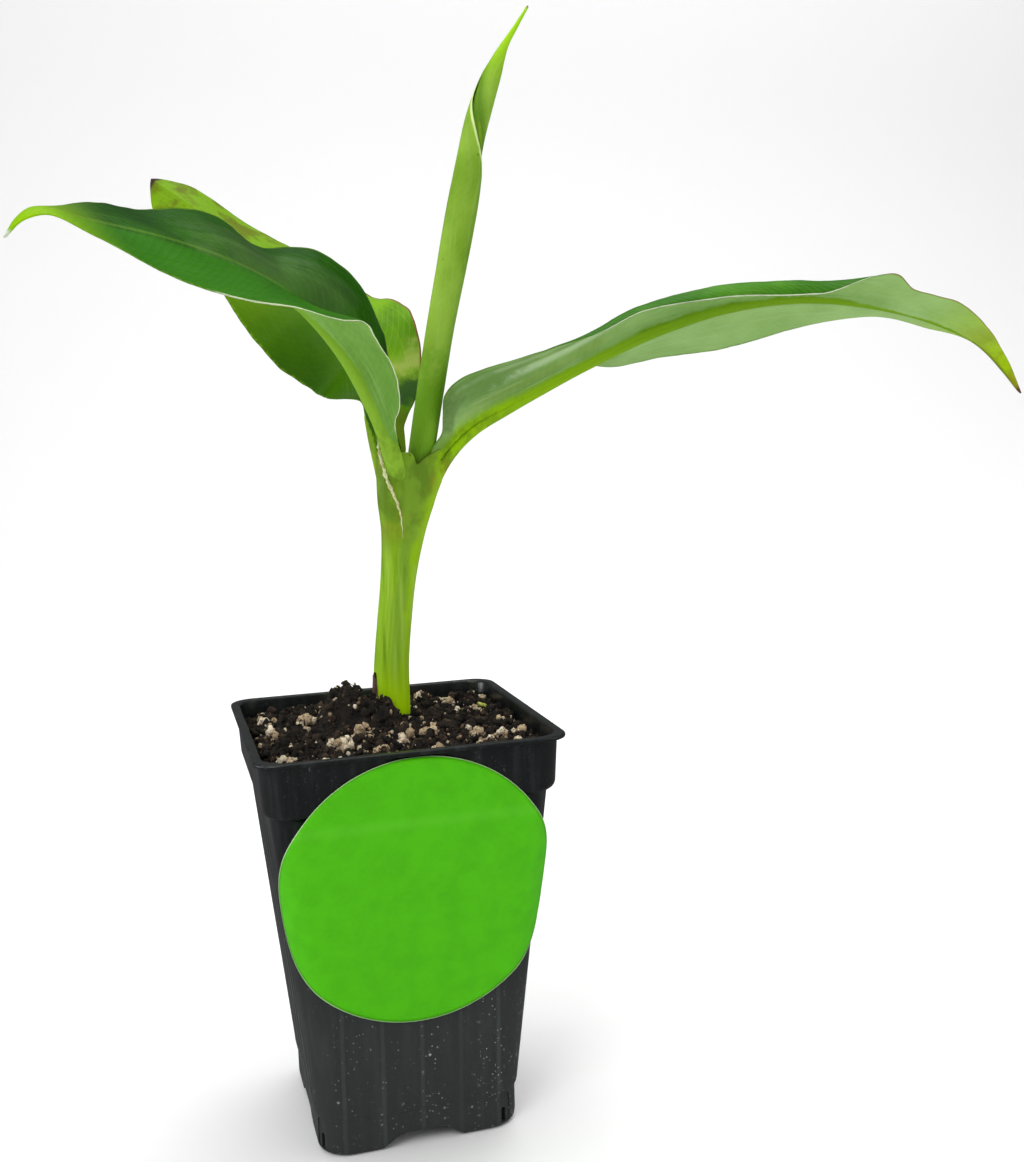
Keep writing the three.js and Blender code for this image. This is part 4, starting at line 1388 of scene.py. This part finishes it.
def roll_bmesh():
    """The youngest leaf: one thin sheet wound round itself, opening a little at its top."""
    line = Line(ROLL_LINE, 90)
    cells = (int(line.length * 1.6), 150)

    def place(t, b):
        point, side, up = line.at(t)
        radius = keyed(ROLL_RADIUS, t)
        seam = math.radians(keyed(ROLL_SEAM, t))
        outer = b <= 0.5
        share = b * 2 if outer else 2 - 2 * b
        wound = ROLL_TURNS * (1 - share)
        turn = seam - wound * 2 * math.pi
        reach = radius * max(0.12, 1 - ROLL_OVERLAP * wound)
        rim = math.sqrt(max(0.0, 1 - abs(2 * share - 1) ** 40))
        reach += (0.5 if outer else -0.5) * ROLL_THICKNESS * rim * min(1.0, radius / 2)
        if t in (0.0, 1.0):
            reach = 0.0
        spot = point - side * reach * math.cos(turn) - up * reach * math.sin(turn)
        from_rib = ROLL_TURNS * 2 * math.pi * radius * abs(share - 0.45)
        return spot, (1.0 if outer else 0.0, share, from_rib, t * line.length, t)

    return wrapped_grid(cells, place, LEAF_MARKS)


# ---------------------------------------------------------------- stem

def stem_section(z):
    """(x, y, half-width, half-depth) of the stem at a height."""
    return [keyed([(row[0], row[k]) for row in STEM], z) for k in range(1, 5)]


def stem_bmesh():
    """The stem: sheaths wound on each other, opening at the top in a cup with a notch."""
    cells = (190, 128)
    # The sections at every quarter of a millimetre, up to above the rim.
    sections = [stem_section(STEM_FOOT + 0.25 * k) for k in range(361)]

    def place(a, b):
        turn = 2 * math.pi * (b - 0.5)
        rim = keyed(STEM_RIM, math.degrees(turn))
        inside = a > OUTSIDE_SHARE
        if inside:
            share = (1 - a) / (1 - OUTSIDE_SHARE)
            z = rim - (rim - CUP_FLOOR) * (1 - share)
        else:
            share = a / OUTSIDE_SHARE
            z = STEM_FOOT + (rim - STEM_FOOT) * share
        x, y, width, depth = sections[round((z - STEM_FOOT) * 4)]
        if a in (0.0, 1.0):
            return Vector((x, y, z)), (0.0, 0.0, 0.0)
        groove = 1 - 0.05 * math.cos(3 * turn + 1) * min(1.0, max(0.0, (200 - z) / 15))
        drift = 2 * noise.noise(Vector((math.sin(turn), math.cos(turn), z * 0.04)))
        fibre = 0.05 * math.sin(turn * 23 + drift)
        thin = STEM_RIM_THICKNESS if inside else 0.0
        bulge = BULGE * math.exp(-(((math.degrees(turn) - BULGE_ANGLE) / BULGE_SPREAD) ** 2))
        bulge *= min(1.0, max(0.0, (z - 180) / 18))
        width = width * groove + fibre - thin
        depth = depth * groove + fibre - thin + bulge
        spot = Vector((x + width * math.sin(turn), y - depth * math.cos(turn), z))
        along = (z - STEM_FOOT) / (STEM_FORK - STEM_FOOT)
        return spot, (along, math.sin(turn), 1.0 if inside else share)

    return wrapped_grid(cells, place, ("along", "right", "rim"))


def sheath_edge_bmesh():
    """The dried margin of the outer sheath: a ragged thread down the front of the fork."""
    line = Line(SHEATH_EDGE)
    cells = (220, 12)

    def place(a, b):
        point = line.point(a)
        ragged = 1 + 0.9 * noise.noise(Vector((a * 24, 0, 2)))
        fade = min(1.0, a * 12, (1 - a) * 2.2)
        drift = 0.35 * noise.noise(Vector((a * 15, 5, 0)))
        turn = 2 * math.pi * b
        reach = 0.5 * ragged * fade
        spot = point + Vector((reach * math.sin(turn) + drift, -0.75 * reach * math.cos(turn), 0))
        return spot, (a,)

    return wrapped_grid(cells, place, ("along",))


def stem_skin():
    """Smooth fleshy sheaths: yellow-green on the right, duller and streaked on the left."""
    settings = bpy.context.scene.plant_stem
    material, tree = new_material("stem_skin")
    along, right = mark(tree, "along"), mark(tree, "right")
    marks = use_group(tree, sheath_marks(), {}).outputs
    streak, cloud = marks["Streak"], marks["Cloud"]
    side = plus(tree, right, ranged(tree, cloud, 0.3, 0.7, -0.12, 0.12))
    middle = times(tree, ranged(tree, side, -0.55, -0.15), ranged(tree, side, 0.55, 0.2))
    base = mixed(tree, ranged(tree, side, 0.1, 0.5), tuple(settings.dull), tuple(settings.bright))
    waxy = times(tree, middle, ranged(tree, along, 0.1, 0.7, 0.2, 0.7))
    base = mixed(tree, waxy, base, srgb(122, 164, 50))
    stripes = ranged(tree, along, 0.95, 0.7, 0.25, 1.0)
    light = times(tree, ranged(tree, streak, 0.48, 0.66), 0.45)
    base = dabbed(tree, base, light, stripes, srgb(172, 206, 84))
    deep = times(tree, ranged(tree, streak, 0.46, 0.32), ranged(tree, side, 0.5, 0.0))
    deep = times(tree, deep, stripes)
    base = dabbed(tree, base, deep, 0.6, srgb(92, 130, 14))
    shade = times(tree, ranged(tree, side, 0.8, 0.4), ranged(tree, along, 0.7, 1.0))
    base = fleshy(tree, dabbed(tree, base, shade, 0.6, srgb(112, 148, 36)), shade)
    base = mixed(tree, ranged(tree, along, 0.34, 0.06), base, srgb(176, 222, 0))
    base = dabbed(tree, base, specked(tree, 300.0, 0.06, 0.18), 0.85, srgb(48, 66, 14))
    base = mixed(tree, ranged(tree, mark(tree, "rim"), 0.996, 0.999), base, srgb(126, 136, 56))
    roughness = ranged(tree, streak, 0.3, 0.7, 0.38, 0.5)
    finish(tree, base, roughness, streak, depth=0.0002, shine=0.12)
    return material


def husk_bmesh():
    """The dried remains of the first sheath: a thin curled scale against the stem's foot."""
    cells = (24, 60)

    def place(a, b):
        front = b <= 0.5
        share = b * 2 if front else 2 - 2 * b
        z = HUSK_LOW + (HUSK_HIGH - HUSK_LOW) * a
        z -= 1.4 * (2 * share - 1) ** 2 * a
        x, y, width, depth = stem_section(z)
        turn = math.radians(HUSK_FACING + (share - 0.5) * 2 * HUSK_SPREAD * (1 - 0.75 * a))
        ruffle = 0.3 * noise.noise(Vector((share * 6, a * 5, 4)))
        reach = width * 1.02 + 0.3 * a * a + ruffle * a
        reach += 0.35 if front else -0.1
        return Vector((x + reach * math.cos(turn), y + reach * math.sin(turn), z)), (a,)

    return wrapped_grid(cells, place, ("along",))


def dry_skin(name, stretch, contrast, shades, rough):
    """Dead tissue between two shades, streaked where the noise is stretched."""
    material, tree = new_material(name)
    streak = grain(tree, stretched(tree, spots(tree), stretch), 1.0, 3.0)
    base = mixed(tree, ranged(tree, streak, *contrast), *shades)
    finish(tree, base, rough, streak, depth=0.0003)
    return material


# ---------------------------------------------------------------- settings

class PlantPotSettings(PropertyGroup):
    colour: FloatVectorProperty(
        name="Plastic", description="Colour of the pot's plastic", subtype="COLOR",
        default=srgb(10, 16, 18), min=0, max=1,
    )
    flute_depth: FloatProperty(
        name="Front flutes", description="Depth of the flutes on the front, in millimetres",
        default=0.7, min=0, max=1,
    )
    side_flute_depth: FloatProperty(
        name="Side flutes", description="Depth of the flutes on the other faces, in millimetres",
        default=0.8, min=0, max=1,
    )
    flute_spacing: FloatProperty(
        name="Flute spacing", description="From one flute to the next, in millimetres",
        default=11.5, min=6, max=16,
    )


class PlantStickerSettings(PropertyGroup):
    colour: FloatVectorProperty(
        name="Paper", description="Colour of the sticker", subtype="COLOR",
        default=srgb(76, 184, 0), min=0, max=1,
    )
    radius: FloatProperty(
        name="Radius", description="Radius of the round sticker, in millimetres",
        default=STICKER_RADIUS, min=20, max=STICKER_RADIUS,
    )


class PlantMixSettings(PropertyGroup):
    crumbs: IntProperty(
        name="Crumbs", description="Dark crumbs on the mix", default=2300, min=0, max=2400,
    )
    fibres: IntProperty(
        name="Fibres", description="Dark fibres on the mix", default=900, min=0, max=1500,
    )
    perlite: IntProperty(
        name="Perlite", description="Small loose pale grains", default=640, min=0, max=1200,
    )


class PlantStemSettings(PropertyGroup):
    bright: FloatVectorProperty(
        name="Bright side", description="Colour of the stem's right side", subtype="COLOR",
        default=srgb(148, 194, 0), min=0, max=1,
    )
    dull: FloatVectorProperty(
        name="Dull side", description="Colour of the stem's left side", subtype="COLOR",
        default=srgb(138, 182, 26), min=0, max=1,
    )


class PlantLeafSettings(PropertyGroup):
    thickness: FloatProperty(
        name="Thickness", description="Thickness of the blades, in millimetres",
        default=0.5, min=0.2, max=1.5,
    )
    vein_spacing: FloatProperty(
        name="Vein spacing", description="From one main side vein to the next, in millimetres",
        default=2.6, min=1, max=10,
    )
    pleat: FloatProperty(
        name="Pleats", description="Height of the pleats along the veins, in millimetres",
        default=0.01, min=0, max=0.5,
    )


class PlantStageSettings(PropertyGroup):
    focal: FloatProperty(
        name="Lens", description="Focal length, in millimetres", default=39.29, min=20, max=120,
    )
    floor: FloatVectorProperty(
        name="Floor", description="Colour of the floor", subtype="COLOR",
        default=(0.86, 0.86, 0.86), min=0, max=1,
    )
    world: FloatProperty(
        name="Surroundings", description="Brightness of the light from all round",
        default=0.45, min=0, max=2,
    )


# ---------------------------------------------------------------- operators

class PLANT_OT_pot(Operator):
    """Make the nursery pot"""

    bl_idname = "plant.pot"
    bl_label = "Pot"

    def execute(self, context):
        pot = new_piece("nursery_pot", pot_shell(), pot_plastic(), ("pot",))
        cut(pot, channel_cutters() + drain_cutters())
        cut(pot, [floor_pad()], "UNION")
        crease(pot.data)
        return {"FINISHED"}


class PLANT_OT_sticker(Operator):
    """Lay the round sticker on the pot"""

    bl_idname = "plant.sticker"
    bl_label = "Sticker"

    def execute(self, context):
        new_piece("round_sticker", sticker_sheet(), sticker_paper(), ("sticker",))
        return {"FINISHED"}


class PLANT_OT_mix(Operator):
    """Fill the pot with potting mix"""

    bl_idname = "plant.mix"
    bl_label = "Potting mix"

    def execute(self, context):
        settings = context.scene.plant_mix
        ground = mix_material("mix_ground", srgb(17, 13, 10), srgb(42, 33, 25), 0.95, 700.0, 0.0008)
        new_piece("potting_mix", soil_block(), ground, ("soil",))
        dark = tinted_material(
            "mix_crumb", (srgb(15, 11, 9), srgb(36, 28, 21), srgb(70, 54, 40)), 0.95, 900.0, 0.0006
        )
        crumbs = grain_shapes(12, 0.9, 3.0, 8)
        grains = strewn(settings.crumbs, 0.4, 1.7, 11, 0.15, crumbs)
        scattered("mix_crumbs", crumbs, grains, dark)
        fibres = grain_shapes(6, 0.3, 5.0, 5)
        grains = strewn(settings.fibres, 1.2, 3.4, 13, 0.1, fibres, 1.5, 0.6)
        scattered("mix_fibres", fibres, grains, dark, (1.0, 0.06, 0.06))
        pale = tinted_material(
            "perlite", (srgb(112, 88, 62), srgb(196, 172, 138), srgb(240, 226, 200)),
            0.9, 1500.0, 0.0005,
        )
        lumps = grain_shapes(10, 0.6, 9.0, 8)
        grains = strewn(settings.perlite, 0.25, 1.0, 21, 0.3, lumps)
        grains += clustered(0.5, 1.8, 27, lumps)
        scattered("mix_perlite", lumps, grains, pale)
        leafy = tinted_material(
            "sprout", (srgb(110, 120, 30), srgb(168, 176, 66), srgb(206, 210, 120)),
            0.8, 900.0, 0.0003,
        )
        place = Vector((*SPROUT, soil_top(*SPROUT) + 1.2))
        bits = [
            (k, place, 2.0 + k, Euler((0.5, 0.4 * k, 0.8 * k)), 0.4 + 0.3 * k) for k in range(2)
        ]
        scattered("mix_sprout", lumps, bits, leafy, (0.8, 0.5, 0.2))
        return {"FINISHED"}


class PLANT_OT_stem(Operator):
    """Make the stem and the dried scale at its foot"""

    bl_idname = "plant.stem"
    bl_label = "Stem"

    def execute(self, context):
        new_piece("stem", stem_bmesh(), stem_skin(), ("pseudostem",))
        cream = dry_skin("dry_margin", (700, 700, 700), (0.35, 0.65),
                         (srgb(186, 180, 120), srgb(232, 232, 184)), 0.7)
        brown = dry_skin("dry_sheath", (900, 900, 120), (0.35, 0.7),
                         (srgb(62, 40, 38), srgb(128, 92, 72)), 0.8)
        new_piece("sheath_edge", sheath_edge_bmesh(), cream)
        new_piece("dry_scale", husk_bmesh(), brown, ("dried_sheath",))
        return {"FINISHED"}


class PLANT_OT_leaves(Operator):
    """Make the open leaves and the rolled one"""

    bl_idname = "plant.leaves"
    bl_label = "Leaves"

    def execute(self, context):
        for name, leaf in LEAVES.items():
            line = Line(leaf["line"], leaf["azimuth"])
            bm = added(blade_bmesh(leaf, line), rib_bmesh(leaf, line))
            new_piece(name, bm, leaf_skin(name, LEAF_TONES[name]), leaf["nodes"])
        skin = leaf_skin("rolled_leaf", LEAF_TONES["rolled_leaf"])
        new_piece("rolled_leaf", roll_bmesh(), skin, ("leaf_spear",))
        return {"FINISHED"}


def backdrop_profile(run):
    """(y, z) at a distance along the floor and up the sweep behind it, in metres."""
    flat, radius = 4.4, 0.9
    y = run - 3.0
    if run <= flat:
        return y, 0.0
    turn = min((run - flat) / radius, math.pi / 2)
    rest = max(0.0, run - flat - radius * math.pi / 2)
    return flat - 3.0 + radius * math.sin(turn), radius * (1 - math.cos(turn)) + rest


def add_camera(lens):
    """The camera, turned by its azimuth, pitch and roll."""
    azimuth, pitch, roll = (math.radians(angle) for angle in CAMERA_TURN)
    back = Vector((
        math.sin(azimuth) * math.cos(pitch), -math.cos(azimuth) * math.cos(pitch), math.sin(pitch),
    ))
    level = Vector((math.cos(azimuth), math.sin(azimuth), 0))
    upright = back.cross(level)
    right = level * math.cos(roll) + upright * math.sin(roll)
    up = upright * math.cos(roll) - level * math.sin(roll)
    turn = Matrix((right, up, back)).transposed().to_4x4()
    camera = add_object("camera", bpy.data.cameras.new("camera"))
    camera.matrix_world = Matrix.Translation(Vector(CAMERA_PLACE) * MM) @ turn
    camera.data.lens = lens
    camera.data.sensor_width = 36
    camera.data.sensor_fit = "AUTO"
    camera.data.clip_start = 0.01
    return camera


def add_backdrop(colour):
    """The floor, which sweeps up behind the plant."""
    bm = bmesh.new()
    bmesh.ops.create_grid(bm, x_segments=1, y_segments=80, size=4.0)
    for vert in bm.verts:
        vert.co.y, vert.co.z = backdrop_profile(vert.co.y + 4.0)
    smoothed(bm)
    backdrop = add_object("backdrop", mesh_of("backdrop", bm))
    material, tree = new_material("backdrop")
    finish(tree, colour, 0.9)
    backdrop.data.materials.append(material)
    backdrop.visible_glossy = False


def add_lights():
    """The square lamps. The wash is aimed at the backdrop and isn't mirrored."""
    for name, spot, aim, size, power in LIGHTS:
        data = bpy.data.lights.new(name, "AREA")
        data.size = size
        data.energy = power
        light = add_object(name, data)
        light.location = spot
        light.visible_glossy = name != "wash"
        light.rotation_euler = (Vector(aim) - Vector(spot)).to_track_quat("-Z", "Y").to_euler()


def soft_world(brightness):
    """Even light from all round, dimmer where it is mirrored."""
    world = bpy.data.worlds.new("soft_studio")
    world.use_nodes = True
    sky = world.node_tree
    mirrored = put(sky, "LightPath").outputs["Is Glossy Ray"]
    strength = ranged(sky, mirrored, 0.0, 1.0, brightness, brightness * 0.3)
    feed(sky, sky.nodes["Background"], {"Color": (1, 1, 1), "Strength": strength})
    return world


class PLANT_OT_stage(Operator):
    """Set the floor, the lights and the camera"""

    bl_idname = "plant.stage"
    bl_label = "Stage"

    def execute(self, context):
        settings = context.scene.plant_stage
        context.scene.camera = add_camera(settings.focal)
        add_backdrop(tuple(settings.floor))
        add_lights()
        context.scene.world = soft_world(settings.world)
        context.scene.view_settings.view_transform = "Standard"
        return {"FINISHED"}


class PLANT_PT_panel(Panel):
    """The plant's pieces, each with the button that makes it"""

    bl_idname = "PLANT_PT_panel"
    bl_label = "Young Banana Plant"
    bl_space_type = "VIEW_3D"
    bl_region_type = "UI"
    bl_category = "Plant"

    def draw(self, context):
        for settings_name, operators in PANEL_ROWS:
            box = self.layout.box()
            for operator in operators:
                box.operator(operator)
            settings = getattr(context.scene, settings_name)
            for prop in settings.bl_rna.properties:
                if prop.identifier not in ("rna_type", "name"):
                    box.prop(settings, prop.identifier)


PANEL_ROWS = (
    ("plant_pot", ("plant.pot",)),
    ("plant_sticker", ("plant.sticker",)),
    ("plant_mix", ("plant.mix",)),
    ("plant_stem", ("plant.stem",)),
    ("plant_leaves", ("plant.leaves",)),
    ("plant_stage", ("plant.stage",)),
)

SETTINGS = {
    "plant_pot": PlantPotSettings,
    "plant_sticker": PlantStickerSettings,
    "plant_mix": PlantMixSettings,
    "plant_stem": PlantStemSettings,
    "plant_leaves": PlantLeafSettings,
    "plant_stage": PlantStageSettings,
}

CLASSES = (
    *SETTINGS.values(),
    PLANT_OT_pot,
    PLANT_OT_sticker,
    PLANT_OT_mix,
    PLANT_OT_stem,
    PLANT_OT_leaves,
    PLANT_OT_stage,
    PLANT_PT_panel,
)


def register():
    for cls in CLASSES:
        bpy.utils.register_class(cls)
    for name, cls in SETTINGS.items():
        setattr(bpy.types.Scene, name, PointerProperty(type=cls))


def unregister():
    for name in SETTINGS:
        delattr(bpy.types.Scene, name)
    for cls in reversed(CLASSES):
        bpy.utils.unregister_class(cls)


def main():
    register()
    bpy.ops.plant.stage()
    bpy.ops.plant.pot()
    bpy.ops.plant.sticker()
    bpy.ops.plant.mix()
    bpy.ops.plant.stem()
    bpy.ops.plant.leaves()


if __name__ == "__main__":
    main()
